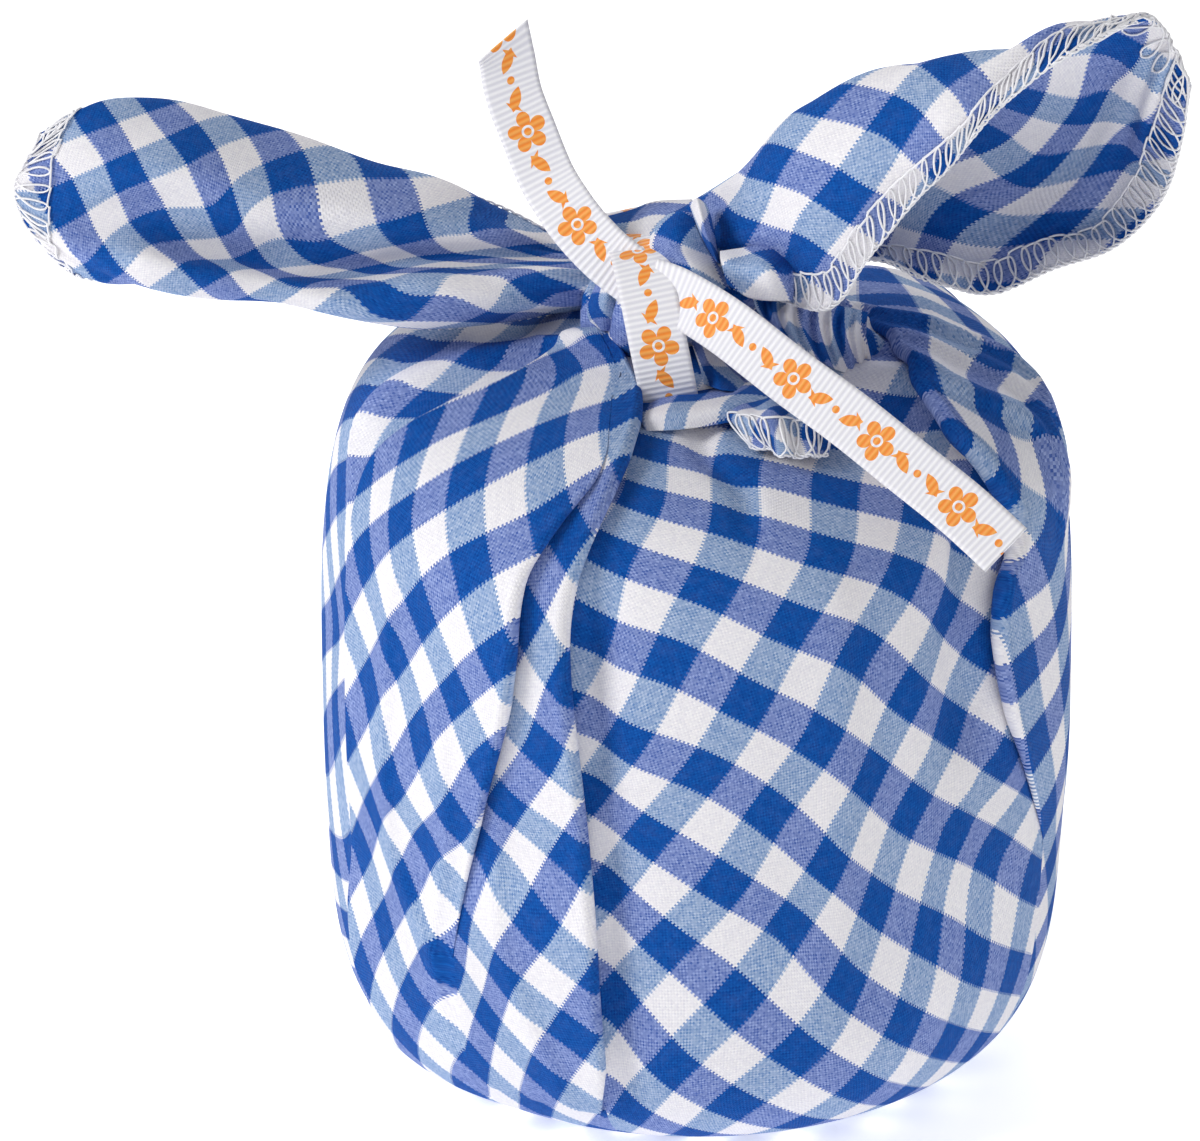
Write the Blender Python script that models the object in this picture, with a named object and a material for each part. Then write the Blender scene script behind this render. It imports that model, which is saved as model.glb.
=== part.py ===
"""A furoshiki wrap: one square of gingham cotton drawn up round a squat drum, its two free corners knotted on top
and left standing as ears, and a ribbon tied round the knot.

Metres, +Z up, the base's centre at the origin, the front towards -Y. The tables are in millimetres, and their
pixels are places in the photograph's 1200 x 1141 frame, laid on the wrap by the line of sight through them."""

import math

import bmesh
import bpy
import numpy as np

MM = 0.001

# The photograph's scale and point of view, from the ribbon's width and the curve of the base.
PIXELS_PER_MM = 5.6
FRAME_CENTRE = np.array((600, 570.5))
VIEW_DOWN = math.radians(20)
VIEW_DISTANCE = 900
VIEW_TARGET = np.array((-16.6, 28.0, 77.1))

# The wrapped drum's profile as radius and height, from the centre of the base up to the neck under the knot, which
# stands a little to the left and to the front of the drum's axis.
PROFILE = np.array((
    (0, 0),
    (21, 0),
    (42, 0),
    (51, 2.8),
    (58.5, 10.5),
    (62.8, 24),
    (64.4, 45),
    (64.8, 70),
    (64.4, 92),
    (62.6, 106),
    (58, 115.5),
    (49.5, 121.5),
    (37, 125.5),
    (25, 128.5),
    (15, 132.5),
    (8, 136),
    (0, 137.5),
))
NECK_SHIFT = np.array((-6.0, -5.0))
BODY_COLUMNS = 84
FRONT_CROWDING = 0.42
BODY_ROWS = 34
TOP_RING_AT = 0.965

# The cloth pulled up to the ears stands above the drum's shoulders: angle from the front, half width, height.
SHOULDER_LIFTS = (
    (math.radians(112), math.radians(48), 8.5),
    (math.radians(-108), math.radians(42), 5.0),
)

# Each fold's edge down the wrap: photograph pixel and the height that the upper layer stands there.
LEFT_WRAP_EDGE = (
    ((628, 362), 2.6),
    ((641, 392), 3.6),
    ((642, 426), 4.2),
    ((631, 460), 4.2),
    ((611, 505), 4.0),
    ((590, 548), 4.0),
    ((576, 588), 4.0),
    ((570, 635), 4.2),
    ((573, 700), 4.2),
    ((581, 760), 4.0),
    ((590, 840), 3.2),
    ((598, 930), 3.2),
    ((600, 1010), 3.0),
    ((607, 1070), 2.4),
    ((603, 1112), 1.0),
)
LEFT_INNER_FOLD = (
    ((598, 478), 0.6),
    ((574, 507), 2.2),
    ((549, 538), 3.0),
    ((528, 572), 3.4),
    ((518, 612), 3.6),
    ((517, 655), 3.6),
    ((512, 708), 3.4),
    ((496, 752), 2.8),
    ((486, 790), 2.4),
    ((478, 830), 2.0),
    ((466, 870), 1.2),
    ((452, 915), 0.4),
    ((444, 960), 0.0),
)
RIGHT_WRAP_EDGE = (
    ((860, 352), 1.6),
    ((898, 388), 3.4),
    ((925, 420), 4.2),
    ((962, 460), 4.2),
    ((992, 500), 4.2),
    ((1003, 548), 4.2),
    ((991, 598), 4.2),
    ((995, 640), 4.0),
    ((1003, 690), 3.0),
    ((1014, 732), 2.8),
    ((1027, 772), 2.2),
    ((1040, 808), 1.2),
    ((1044, 840), 0.0),
)
LAYER_STEP = 2.6
LAYER_HOLLOW = 0.9
HOLLOW_WIDTH = 4.5
LAYER_RUN_OUT = 46

# Soft pleats that run down the cloth: their pixels, height and half width.
PLEATS = (
    (((845, 620), (850, 800), (838, 1010)), 0.9, 4.5),
    (((930, 690), (935, 850), (905, 1030)), 0.9, 4.0),
    (((968, 620), (975, 800), (950, 960)), 0.8, 3.5),
    (((362, 470), (352, 600), (350, 740)), 1.1, 3.0),
    (((395, 640), (388, 780), (405, 930)), 0.9, 3.5),
    (((560, 362), (481, 395), (420, 421), (367, 462)), 1.6, 3.5),
    (((540, 338), (460, 352), (385, 385)), 1.6, 4.0),
    (((880, 335), (940, 345), (1000, 365), (1044, 420)), 1.8, 3.5),
    (((880, 362), (940, 388), (1005, 420), (1046, 500)), 1.5, 3.5),
)
BACK_PLEATS = (
    (math.radians(150), 1.2, 6.0),
    (math.radians(171), 1.6, 5.0),
    (math.radians(-166), 1.4, 6.0),
    (math.radians(-140), 1.2, 7.0),
)

# The knot's strands: pixel, depth behind the axis, half width and half thickness.
KNOT_STRANDS = (
    (((600, 296), -5, 7, 12), ((628, 300), -5, 13.6, 20.5), ((672, 306), -5, 13.6, 20.5), ((706, 318), -5, 11, 15),
     ((742, 334), -5, 7, 9)),
    (((612, 262), 2, 6, 6), ((640, 240), -3, 9, 8), ((672, 250), -8, 11, 9), ((700, 285), -12, 10, 9),
     ((712, 325), -12, 8, 8)),
    (((580, 302), -8, 7, 6), ((612, 308), -11, 8, 7), ((645, 318), -12, 8, 8), ((690, 330), -12, 9, 8),
     ((735, 340), -8, 9, 8)),
    (((600, 330), -8, 8, 8), ((634, 372), -16, 9, 8), ((640, 412), -24, 7, 6), ((650, 436), -28, 4, 4)),
    (((660, 330), -4, 16, 14), ((690, 352), -4, 18, 14), ((720, 375), -6, 16, 10)),
    (((730, 325), -6, 10, 9), ((785, 340), -4, 12, 9), ((845, 360), -6, 10, 8), ((885, 385), -14, 7, 6)),
    (((700, 262), -8, 8, 8), ((735, 262), -14, 9, 7), ((775, 275), -18, 7, 5)),
)
STRAND_SIDES = 12
RINGS_PER_ROW = 2

# The ears' sections from the knot to the tip, as pixel and depth of each point across the cloth.
LEFT_EAR = (
    (((612, 236), 6), ((615, 250), 0), ((616, 262), -4), ((618, 275), -9), ((616, 296), -10), ((612, 305), 0)),
    (((560, 240), 6), ((562, 250), -1), ((560, 262), -5), ((556, 276), -12), ((552, 300), -12), ((556, 312), -2)),
    (((500, 206), 5), ((498, 232), -5), ((494, 258), -6), ((492, 278), -14), ((486, 312), -15), ((494, 322), -5)),
    (((440, 182), 4), ((436, 222), -7), ((428, 262), -7), ((426, 284), -16), ((418, 318), -16), ((430, 326), -6)),
    (((372, 160), 3), ((364, 212), -9), ((354, 266), -8), ((352, 288), -16), ((345, 314), -16), ((360, 316), -6)),
    (((300, 138), 2), ((290, 200), -10), ((276, 264), -9), ((276, 282), -15), ((272, 300), -15), ((288, 298), -7)),
    (((232, 116), 1), ((220, 180), -11), ((206, 244), -10), ((208, 270), -16), ((208, 296), -15), ((224, 286), -8)),
    (((170, 101), 0), ((156, 160), -11), ((140, 222), -11), ((142, 258), -17), ((144, 286), -15), ((160, 272), -9)),
    (((118, 100), -2), ((100, 155), -10), ((84, 215), -11), ((86, 250), -14), ((92, 272), -13), ((96, 280), -9)),
    (((76, 112), -5), ((52, 160), -8), ((42, 208), -10), ((48, 238), -11), ((58, 254), -11), ((72, 268), -8)),
    (((42, 136), -6), ((22, 168), -7), ((16, 196), -8), ((24, 218), -9), ((36, 234), -9), ((50, 248), -7)),
)
RIGHT_EAR = (
    (((690, 290), -14), ((680, 250), -14), ((680, 212), -8), ((684, 220), 0), ((690, 250), 2), ((696, 270), 0)),
    (((735, 293), -19), ((720, 240), -19), ((724, 184), -12), ((738, 200), 0), ((752, 236), 2), ((768, 262), -4)),
    (((786, 300), -26), ((765, 225), -27), ((752, 160), -18), ((780, 180), -2), ((812, 228), 0), ((838, 262), -8)),
    (((832, 306), -33), ((805, 205), -33), ((795, 112), -22), ((835, 160), -4), ((868, 226), -2), ((882, 262), -12)),
    (((866, 260), -37), ((850, 170), -37), ((850, 82), -25), ((895, 150), -6), ((918, 224), -4), ((935, 280), -14)),
    (((908, 208), -38), ((902, 135), -39), ((908, 64), -28), ((958, 140), -8), ((975, 220), -6), ((990, 294), -16)),
    (((946, 170), -40), ((950, 110), -42), ((964, 57), -31), ((1015, 130), -10), ((1035, 218), -8), ((1050, 268), -17)),
    (((990, 116), -42), ((1001, 84), -41.5), ((1016, 48), -34), ((1070, 110), -14), ((1092, 205), -12), ((1112, 248), -19)),
    (((1042, 72), -42), ((1051, 47), -40), ((1066, 28), -34), ((1108, 80), -20), ((1134, 158), -18), ((1160, 200), -23)),
    (((1088, 44), -41), ((1100, 27), -38), ((1118, 23), -32), ((1140, 62), -28), ((1156, 112), -26), ((1180, 142), -27)),
    (((1130, 22), -37), ((1142, 17), -35), ((1154, 20), -33), ((1168, 38), -32), ((1180, 62), -31), ((1190, 84), -30)),
)
EAR_ROWS = 26
EAR_COLUMNS = 16
CLOTH_THICKNESS = 1.6

# The front corner's crumpled tip, pushed out from under the knot: pixel and depth across the cloth.
CORNER_TIP = (
    (((728, 392), -20), ((760, 386), -22), ((800, 384), -20), ((838, 392), -18)),
    (((738, 406), -33), ((764, 408), -38), ((798, 404), -34), ((826, 406), -30)),
    (((748, 424), -41), ((770, 428), -45), ((798, 426), -42), ((824, 422), -38)),
    (((756, 440), -44), ((778, 446), -47), ((800, 444), -45), ((822, 436), -42)),
)

# The ribbon: width, built thickness, and its route as pixel and depth, with the way that its face leans.
RIBBON_WIDTH = 9.5
RIBBON_THICKNESS = 0.9
CLEARANCE = 0.35
BAND = (
    (-12.0, -4.0, 152.2),
    (-11.3, -13.0, 151.1),
    (-10.0, -21.0, 149.0),
    (-8.7, -26.0, 145.5),
    (-7.4, -28.5, 139.5),
    (-6.1, -28.0, 133.2),
    (-4.8, -25.4, 127.0),
    (-3.8, -19.0, 122.4),
    (-3.4, -8.0, 121.2),
    (-4.0, 4.0, 121.8),
    (-5.6, 13.0, 126.0),
    (-7.6, 17.4, 134.0),
    (-9.8, 14.6, 143.0),
    (-11.6, 6.0, 149.8),
    (-12.1, -2.5, 152.3),
)
TAIL_UP = (
    ((648, 290), -26.8),
    ((624, 258), -22.0),
    ((600, 232), -18.0),
    ((572, 200), -14.0),
    ((541, 152), -11.0),
    ((519, 104), -9.0),
    ((507, 60), -8.0),
    ((507, 33), -8.0),
)
TAIL_UP_ACROSS = ((0.72, 0.0, -0.69), (0.86, 0.1, -0.5), (0.97, 0.2, -0.12))
TAIL_DOWN = (
    ((640, 262), -22.5),
    ((682, 292), -30.0),
    ((730, 332), -36.5),
    ((790, 376), -43.0),
    ((850, 420), -50.0),
    ((905, 464), -57.0),
    ((960, 508), -63.5),
    ((1006, 550), -69.0),
)
TAIL_DOWN_ACROSS = ((0.62, 0.12, 0.78), (0.66, 0.2, 0.72), (0.68, 0.26, 0.68))


def sight_line(pixel):
    """The camera's place and the direction of the line of sight through a photograph pixel."""
    back = np.array((0, -math.cos(VIEW_DOWN), math.sin(VIEW_DOWN)))
    up = np.array((0, math.sin(VIEW_DOWN), math.cos(VIEW_DOWN)))
    across, rise = (np.array(pixel) - FRAME_CENTRE) / PIXELS_PER_MM
    camera = VIEW_TARGET + VIEW_DISTANCE * back
    target = VIEW_TARGET + across * np.array((1, 0, 0)) - rise * up
    return camera, (target - camera) / VIEW_DISTANCE


def at_depth(pixel, depth):
    """The point seen at a pixel where it lies this far behind the wrap's axis."""
    camera, direction = sight_line(pixel)
    return camera + direction * (depth - camera[1]) / direction[1]


def profile_lengths():
    """The distance run along the profile up to each of its points."""
    steps = np.hypot(*np.diff(PROFILE, axis=0).T)
    return np.concatenate(((0,), np.cumsum(steps)))


def smooth_curve(points, count):
    """Points evenly spread along a Catmull-Rom curve through the given ones."""
    points = np.array(points, dtype=float)
    ends = np.vstack((2 * points[0] - points[1], points, 2 * points[-1] - points[-2]))
    places = np.linspace(0, len(points) - 1, count)
    spans = np.minimum(places.astype(int), len(points) - 2)
    t = (places - spans)[:, None]
    a, b, c, d = (ends[spans + k] for k in range(4))
    return 0.5 * (2 * b + (c - a) * t + (2 * a - 5 * b + 4 * c - d) * t ** 2 + (3 * b - a - 3 * c + d) * t ** 3)


def on_body(pixel):
    """The angle from the front and the distance along the profile where a line of sight meets the drum."""
    camera, direction = sight_line(pixel)
    reach = np.linspace(VIEW_DISTANCE - 160, VIEW_DISTANCE + 160, 6000)[:, None]
    points = camera + direction * reach
    lengths = profile_lengths()
    side = PROFILE[2:]
    radius = np.hypot(points[:, 0], points[:, 1])
    within = (radius < np.interp(points[:, 2], side[:, 1], side[:, 0])) & (points[:, 2] < side[-1, 1])
    first = points[np.argmax(within)] if within.any() else points[np.argmin(np.abs(radius))]
    length = np.interp(first[2], side[:, 1], lengths[2:])
    return math.atan2(first[0], -first[1]), length


def line_on_body(rows):
    """A fold's line as distances along the profile, angles and heights, from the base up."""
    placed = sorted((on_body(pixel)[::-1] + (height,)) for pixel, height in rows)
    return np.array(placed).T


def layer(angle, length, radius, rows, side):
    """How high a folded layer stands that covers the cloth to one side (-1 left, 1 right) of its edge."""
    lengths, angles, heights = line_on_body(rows)
    away = (angle - np.interp(length, lengths, angles)) * radius * side
    height = np.interp(length, lengths, heights, left=0, right=heights[-1])
    edge = np.clip(away / LAYER_STEP + 0.5, 0, 1)
    fade = np.clip(1 - away / LAYER_RUN_OUT, 0, 1)
    hollow = LAYER_HOLLOW * height / 3 * ridge(away + HOLLOW_WIDTH, HOLLOW_WIDTH)
    return height * edge ** 0.7 * fade ** 1.5 - hollow


def ridge(away, half_width):
    """A soft pleat's height, 1 on its line."""
    return np.exp(-(away / half_width) ** 2)


def turned(angle, place):
    """The angle from a place, between minus and plus half a turn."""
    return np.mod(angle - place + math.pi, 2 * math.pi) - math.pi


def body_relief(angle, length, radius):
    """How far the wrapped cloth stands off the drum's plain profile."""
    relief = layer(angle, length, radius, LEFT_WRAP_EDGE, -1)
    relief += layer(angle, length, radius, LEFT_INNER_FOLD, -1)
    relief += layer(angle, length, radius, RIGHT_WRAP_EDGE, 1)
    for pixels, height, half_width in PLEATS:
        lengths, angles, _ = line_on_body([(pixel, 0) for pixel in pixels])
        away = (angle - np.interp(length, lengths, angles)) * radius
        past_ends = np.maximum(lengths[0] - length, 0) + np.maximum(length - lengths[-1], 0)
        relief += height * ridge(away, half_width) * ridge(past_ends, 12)
    for place, height, half_width in BACK_PLEATS:
        relief += height * ridge(turned(angle, place) * radius, half_width)
    return relief


def body_points(angle, length):
    """The wrapped body's surface at arrays of angles and of distances along the profile."""
    lengths = profile_lengths()
    fine = smooth_curve(PROFILE, 600)
    fine_lengths = np.interp(np.linspace(0, len(PROFILE) - 1, 600), np.arange(len(PROFILE)), lengths)
    radius = np.maximum(np.interp(length, fine_lengths, fine[:, 0]), 0)
    height = np.maximum(np.interp(length, fine_lengths, fine[:, 1]), 0)
    out = np.gradient(fine, fine_lengths, axis=0)
    out /= np.linalg.norm(out, axis=1)[:, None]
    free = np.clip((length - lengths[2]) / 12, 0, 1) * np.clip((lengths[-1] - length) / 25, 0, 1)
    relief = body_relief(angle, length, np.maximum(radius, 6)) * free
    radius = radius + relief * np.interp(length, fine_lengths, out[:, 1])
    height = height - relief * np.interp(length, fine_lengths, out[:, 0])
    for place, half_width, lift in SHOULDER_LIFTS:
        share = np.clip((height - 100) / 22, 0, 1) * np.clip(radius / 40, 0, 1) ** 2
        height = height + lift * share * ridge(turned(angle, place), half_width)
    gathered = np.clip((42 - radius) / 32, 0, 1) * (height > 60)
    return np.stack((radius * np.sin(angle) + NECK_SHIFT[0] * gathered,
                     -radius * np.cos(angle) + NECK_SHIFT[1] * gathered, height), axis=-1)


def add_piece(name, points, faces, finish):
    """A closed mesh object from points in millimetres, its faces turned outwards."""
    mesh = bpy.data.meshes.new(name)
    mesh.from_pydata([tuple(point * MM) for point in points], [], faces)
    shape = bmesh.new()
    shape.from_mesh(mesh)
    bmesh.ops.recalc_face_normals(shape, faces=shape.faces)
    shape.to_mesh(mesh)
    shape.free()
    mesh.materials.append(finish)
    mesh.shade_smooth()
    piece = bpy.data.objects.new(name, mesh)
    bpy.context.collection.objects.link(piece)
    return piece


def ring_faces(rings, sides):
    """Quads between rings of the same number of points, with a fan-free cap on both ends."""
    faces = []
    for ring in range(rings - 1):
        for side in range(sides):
            step = (side + 1) % sides
            faces.append((ring * sides + side, ring * sides + step,
                          (ring + 1) * sides + step, (ring + 1) * sides + side))
    last = (rings - 1) * sides
    faces.append(tuple(reversed(range(sides))))
    faces.append(tuple(last + side for side in range(sides)))
    return faces


def body(finish):
    """The filled, wrapped drum: closed by its flat base and by a small flat on top, under the knot."""
    turns = np.arange(BODY_COLUMNS) / BODY_COLUMNS * 2 * math.pi - math.pi
    angles = turns - FRONT_CROWDING * np.sin(turns)
    lengths = profile_lengths()
    rows = np.concatenate(((lengths[2],), np.linspace(lengths[2] + 4, lengths[-1] * TOP_RING_AT, BODY_ROWS)))
    grid = body_points(*np.meshgrid(angles, rows))
    return add_piece("furoshiki_cloth", grid.reshape(-1, 3), ring_faces(len(rows), BODY_COLUMNS), finish)


def strand(name, rows, finish):
    """A gathered strand of the knot: a bent bar with oval sections."""
    rings = RINGS_PER_ROW * len(rows)
    centres = smooth_curve([at_depth(pixel, depth) for pixel, depth, _, _ in rows], rings)
    sizes = smooth_curve([(width, thickness) for _, _, width, thickness in rows], rings)
    along = np.gradient(centres, axis=0)
    along /= np.linalg.norm(along, axis=1)[:, None]
    out = np.array((0, -1, 0.3)) - along * (along @ np.array((0, -1, 0.3)))[:, None]
    out /= np.linalg.norm(out, axis=1)[:, None]
    across = np.cross(along, out)
    around = np.arange(STRAND_SIDES) / STRAND_SIDES * 2 * math.pi
    ends = np.sqrt(np.clip(np.minimum(np.arange(len(centres)), np.arange(len(centres))[::-1]) / 1.6, 0.25, 1))
    surface = (centres[:, None]
               + across[:, None] * (sizes[:, 0] * ends)[:, None, None] * np.cos(around)[None, :, None]
               + out[:, None] * (sizes[:, 1] * ends)[:, None, None] * np.sin(around)[None, :, None])
    return add_piece(name, surface.reshape(-1, 3), ring_faces(rings, STRAND_SIDES), finish)


def sheet(name, grid, thickness, finish):
    """A closed sheet of even thickness about a grid of points."""
    rows, columns, _ = grid.shape
    normal = np.cross(np.gradient(grid, axis=0), np.gradient(grid, axis=1))
    normal /= np.linalg.norm(normal, axis=2)[:, :, None]
    points = np.concatenate(((grid + normal * thickness / 2).reshape(-1, 3),
                             (grid - normal * thickness / 2).reshape(-1, 3)))
    back = rows * columns
    faces = []
    for row in range(rows - 1):
        for column in range(columns - 1):
            corner = row * columns + column
            quad = (corner, corner + 1, corner + columns + 1, corner + columns)
            faces.append(quad)
            faces.append(tuple(back + point for point in reversed(quad)))
    rim = [column for column in range(columns)]
    rim += [row * columns + columns - 1 for row in range(1, rows)]
    rim += [(rows - 1) * columns + column for column in reversed(range(columns - 1))]
    rim += [row * columns for row in reversed(range(1, rows - 1))]
    for place, point in enumerate(rim):
        following = rim[(place + 1) % len(rim)]
        faces.append((point, back + point, back + following, following))
    return add_piece(name, points, faces, finish)


def sheet_grid(table, rows, columns):
    """A smooth grid through a table of sections, each a row of pixels with their depths."""
    sections = np.array([smooth_curve([at_depth(*point) for point in section], columns) for section in table])
    return np.stack([smooth_curve(sections[:, column], rows) for column in range(columns)], axis=1)


def strip(route, across, width):
    """A ribbon's grid: its route's points with one edge to each side."""
    along = np.gradient(route, axis=0)
    along /= np.linalg.norm(along, axis=1)[:, None]
    across = across - along * np.sum(across * along, axis=1)[:, None]
    across /= np.linalg.norm(across, axis=1)[:, None]
    return route[:, None] + across[:, None] * np.array((-0.5, 0, 0.5))[None, :, None] * width


def ribbon(name, grow, finish):
    """The ribbon's band and two free ends as one solid, each side moved out by the given growth."""
    width = RIBBON_WIDTH + 2 * grow
    thickness = RIBBON_THICKNESS + 2 * grow
    band = smooth_curve(BAND, 34)
    sides = np.array((1.0, 0.0, -0.12))[None, :].repeat(len(band), axis=0)
    whole = sheet(name, strip(band, sides, width), thickness, finish)
    for tail, table, leans, count in (("up", TAIL_UP, TAIL_UP_ACROSS, 18), ("down", TAIL_DOWN, TAIL_DOWN_ACROSS, 20)):
        route = smooth_curve([at_depth(*point) for point in table], count)
        route[-1] += (route[-1] - route[-2]) / np.linalg.norm(route[-1] - route[-2]) * grow
        piece = sheet(name + "_" + tail, strip(route, smooth_curve(leans, count), width), thickness, finish)
        join(whole, piece, "UNION")
    return whole


def join(whole, piece, operation):
    """Unite a piece with the whole, or cut it away, and keep it only as a guide."""
    change = whole.modifiers.new(piece.name, "BOOLEAN")
    change.operation = operation
    change.object = piece
    piece.hide_render = True
    piece.display_type = "WIRE"


def cloth_finish(name, colour, roughness):
    """A plain cloth finish."""
    finish = bpy.data.materials.new(name)
    finish.use_nodes = True
    shader = finish.node_tree.nodes["Principled BSDF"]
    shader.inputs["Base Color"].default_value = (*colour, 1)
    shader.inputs["Roughness"].default_value = roughness
    shader.inputs["Metallic"].default_value = 0
    return finish


def main():
    for thing in list(bpy.data.objects):
        bpy.data.objects.remove(thing)
    cotton = cloth_finish("blue_gingham_cotton", (0.16, 0.27, 0.52), 0.9)
    grosgrain = cloth_finish("white_grosgrain", (0.86, 0.84, 0.86), 0.7)
    cloth = body(cotton)
    for number, rows in enumerate(KNOT_STRANDS):
        join(cloth, strand("knot_strand_%d" % number, rows, cotton), "UNION")
    for name, table in (("left_ear", LEFT_EAR), ("right_ear", RIGHT_EAR)):
        grid = sheet_grid(table, EAR_ROWS, EAR_COLUMNS)
        join(cloth, sheet(name, grid, CLOTH_THICKNESS, cotton), "UNION")
    corner = sheet_grid(CORNER_TIP, 8, 10)
    join(cloth, sheet("corner_tip", corner, CLOTH_THICKNESS, cotton), "UNION")
    join(cloth, ribbon("ribbon_clearance", CLEARANCE, grosgrain), "DIFFERENCE")
    ribbon("tie_ribbon", 0, grosgrain)


main()
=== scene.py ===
"""Dressing of the furoshiki wrap: gingham cotton, overlocked edges, the knot, its ears and the ribbon.

Tables are in millimetres. A pixel is a place in the photograph's 1200 x 1141 frame, laid on the wrap along the
camera's line of sight, and a check is one woven square of the gingham, blue where both its numbers are even."""

import math

import bmesh
import bpy
import numpy as np
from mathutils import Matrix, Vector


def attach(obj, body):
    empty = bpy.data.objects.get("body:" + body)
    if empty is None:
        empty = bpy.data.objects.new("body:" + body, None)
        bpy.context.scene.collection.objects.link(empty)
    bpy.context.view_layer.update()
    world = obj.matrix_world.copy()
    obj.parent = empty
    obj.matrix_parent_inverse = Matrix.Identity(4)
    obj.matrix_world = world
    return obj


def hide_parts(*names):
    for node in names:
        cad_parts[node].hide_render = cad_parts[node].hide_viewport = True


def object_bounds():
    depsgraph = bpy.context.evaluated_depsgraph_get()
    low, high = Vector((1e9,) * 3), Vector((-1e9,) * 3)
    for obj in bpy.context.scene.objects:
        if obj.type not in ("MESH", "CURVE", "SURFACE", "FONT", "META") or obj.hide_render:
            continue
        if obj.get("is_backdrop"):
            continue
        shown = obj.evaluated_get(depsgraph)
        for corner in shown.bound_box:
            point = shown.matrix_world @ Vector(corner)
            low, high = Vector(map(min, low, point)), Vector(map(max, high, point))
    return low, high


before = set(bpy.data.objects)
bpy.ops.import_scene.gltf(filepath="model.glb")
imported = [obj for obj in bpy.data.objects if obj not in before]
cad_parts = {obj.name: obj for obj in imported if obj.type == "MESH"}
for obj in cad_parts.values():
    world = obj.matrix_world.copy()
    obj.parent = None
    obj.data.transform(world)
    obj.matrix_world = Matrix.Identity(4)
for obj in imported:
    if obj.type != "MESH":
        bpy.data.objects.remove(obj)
CAD_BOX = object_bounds()
MM = 0.001

# The point of view.
PIXELS_PER_MM = 5.6
FRAME_CENTRE = np.array((600, 570.5))
FRAME_WIDTH = 1200
VIEW_DOWN = math.radians(20)
VIEW_DISTANCE = 900
VIEW_TARGET = np.array((-16.6, 28.0, 77.1))
VIEW_BACK = np.array((0, -math.cos(VIEW_DOWN), math.sin(VIEW_DOWN)))
VIEW_UP = np.array((0, math.sin(VIEW_DOWN), math.cos(VIEW_DOWN)))
VIEW_ACROSS = np.array((1.0, 0, 0))

# The cloth and the ribbon.
CHECK = 7.0
CLOTH_THICKNESS = 0.5
RIBBON_WIDTH = 9.5
RIBBON_THICKNESS = 0.45
OVERLOCK_WIDTH = 6.2
STITCH_SEED = 7
STITCH_PITCHES = {"left_ear": 1.7, "right_ear": 2.6, "corner_tip": 2.2}
THREAD = 0.4
THREAD_TWIST = 5 / 12
# A coarser count than the cloth's own, so that its threads show.
THREADS_A_CHECK = 20.0
# Each kind of cell by its threads below and on top: white, blue across, blue down and blue both ways.
# In the plain white and blue cells the threads below are painted darker, a painted shade between the threads; in the
# other cells the two tones are the two yarns.
CELL_COLOURS = (("#e4e2ea", "#f8f6f8"), ("#4460ab", "#9babdb"), ("#6488bd", "#b8c8e1"), ("#034090", "#115bb2"))
EVEN_BEYOND = 24.0
# How strongly the checks keep to squares: on the wrapped drum, and on the smaller free pieces of cloth.
BODY_HOLD = 20000
FREE_CLOTH_HOLD = 2000
# Rows and columns of an ear's mesh, and how high the tucked corner crumples.
EAR_ROWS, EAR_COLUMNS = 150, 110
TIP_CRUMPLE = 0.7
# Rows in from an ear's end that its overlock reaches, and rows at the knot where its long edges have none.
OVERLOCK_COLUMNS = 60
OVERLOCK_FROM = 12
PRINT_PITCH = 17.8
RIB_PITCH = 1.0

# The studio's softboxes in metres and watts: name, place, side and power.
SOFTBOXES = (
    ("key_softbox", (-0.92, -0.4, 0.75), 0.45, 7.8),
    ("fill_softbox", (0.7, -0.7, 0.45), 0.9, 0.8),
    ("back_softbox", (0.1, 0.9, 0.8), 0.9, 5.0),
)
AIM_HEIGHT = 0.08
SKY_STRENGTH = 0.32
PAPER_GLOW = 0.6

# The wrapped drum's profile as radius and height, from the centre of the base up into the knot.
PROFILE = np.array((
    (0, 0), (20, 0), (38.5, 0), (49.4, 3.4), (58.2, 11.2), (62.8, 24), (64.4, 45), (64.8, 70), (64.4, 92),
    (62.6, 106), (58, 115.5), (49.5, 121.5), (37, 125.5), (25, 128.5), (15, 132.5), (8, 136), (3, 138),
))
NECK_SHIFT = np.array((-6.0, -5.0))
SHOULDER_LIFTS = (
    (math.radians(112), math.radians(48), 8.5),
    (math.radians(-104), math.radians(44), 8.6),
)

# Each fold's edge down the wrap: pixel x and y, and the height of the roll there.
LEFT_WRAP_EDGE = (
    (606, 327, 1.0), (626, 350, 2.2), (640, 385, 3.2), (643, 425, 3.8), (631, 460, 4.0), (611, 505, 3.8),
    (590, 548, 3.8), (576, 588, 4.0), (570, 635, 4.4), (572, 690, 4.4), (580, 750, 4.0), (590, 840, 3.6),
    (598, 930, 3.6), (600, 1010, 3.4), (607, 1070, 2.6), (603, 1112, 1.2),
)
LEFT_OUTER_FOLD = (
    (604, 328, 0.2), (580, 338, 0.8), (556, 352, 1.4), (535, 367, 2.0), (505, 386, 2.8), (480, 393, 3.2),
    (455, 402, 3.4), (430, 413, 3.4), (415, 422, 3.4), (395, 436, 3.4), (380, 448, 3.2), (368, 460, 3.0),
    (361, 480, 2.8), (355, 505, 2.6), (348, 560, 2.2), (345, 640, 2.0), (347, 740, 1.8), (351, 800, 1.6),
    (353, 850, 1.5), (347, 905, 1.4), (352, 960, 1.3), (375, 1015, 1.2), (405, 1052, 1.1), (440, 1088, 1.0),
)
LEFT_INNER_FOLD = (
    (612, 400, 0.0), (608, 455, 0.2), (598, 484, 0.8), (574, 508, 1.8), (549, 540, 2.6), (528, 573, 3.2),
    (519, 612, 3.5), (517, 655, 3.6), (511, 710, 3.4), (497, 752, 3.0), (486, 792, 2.6), (478, 830, 2.2),
    (466, 870, 1.4), (453, 915, 0.6), (444, 965, 0.0),
)
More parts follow.
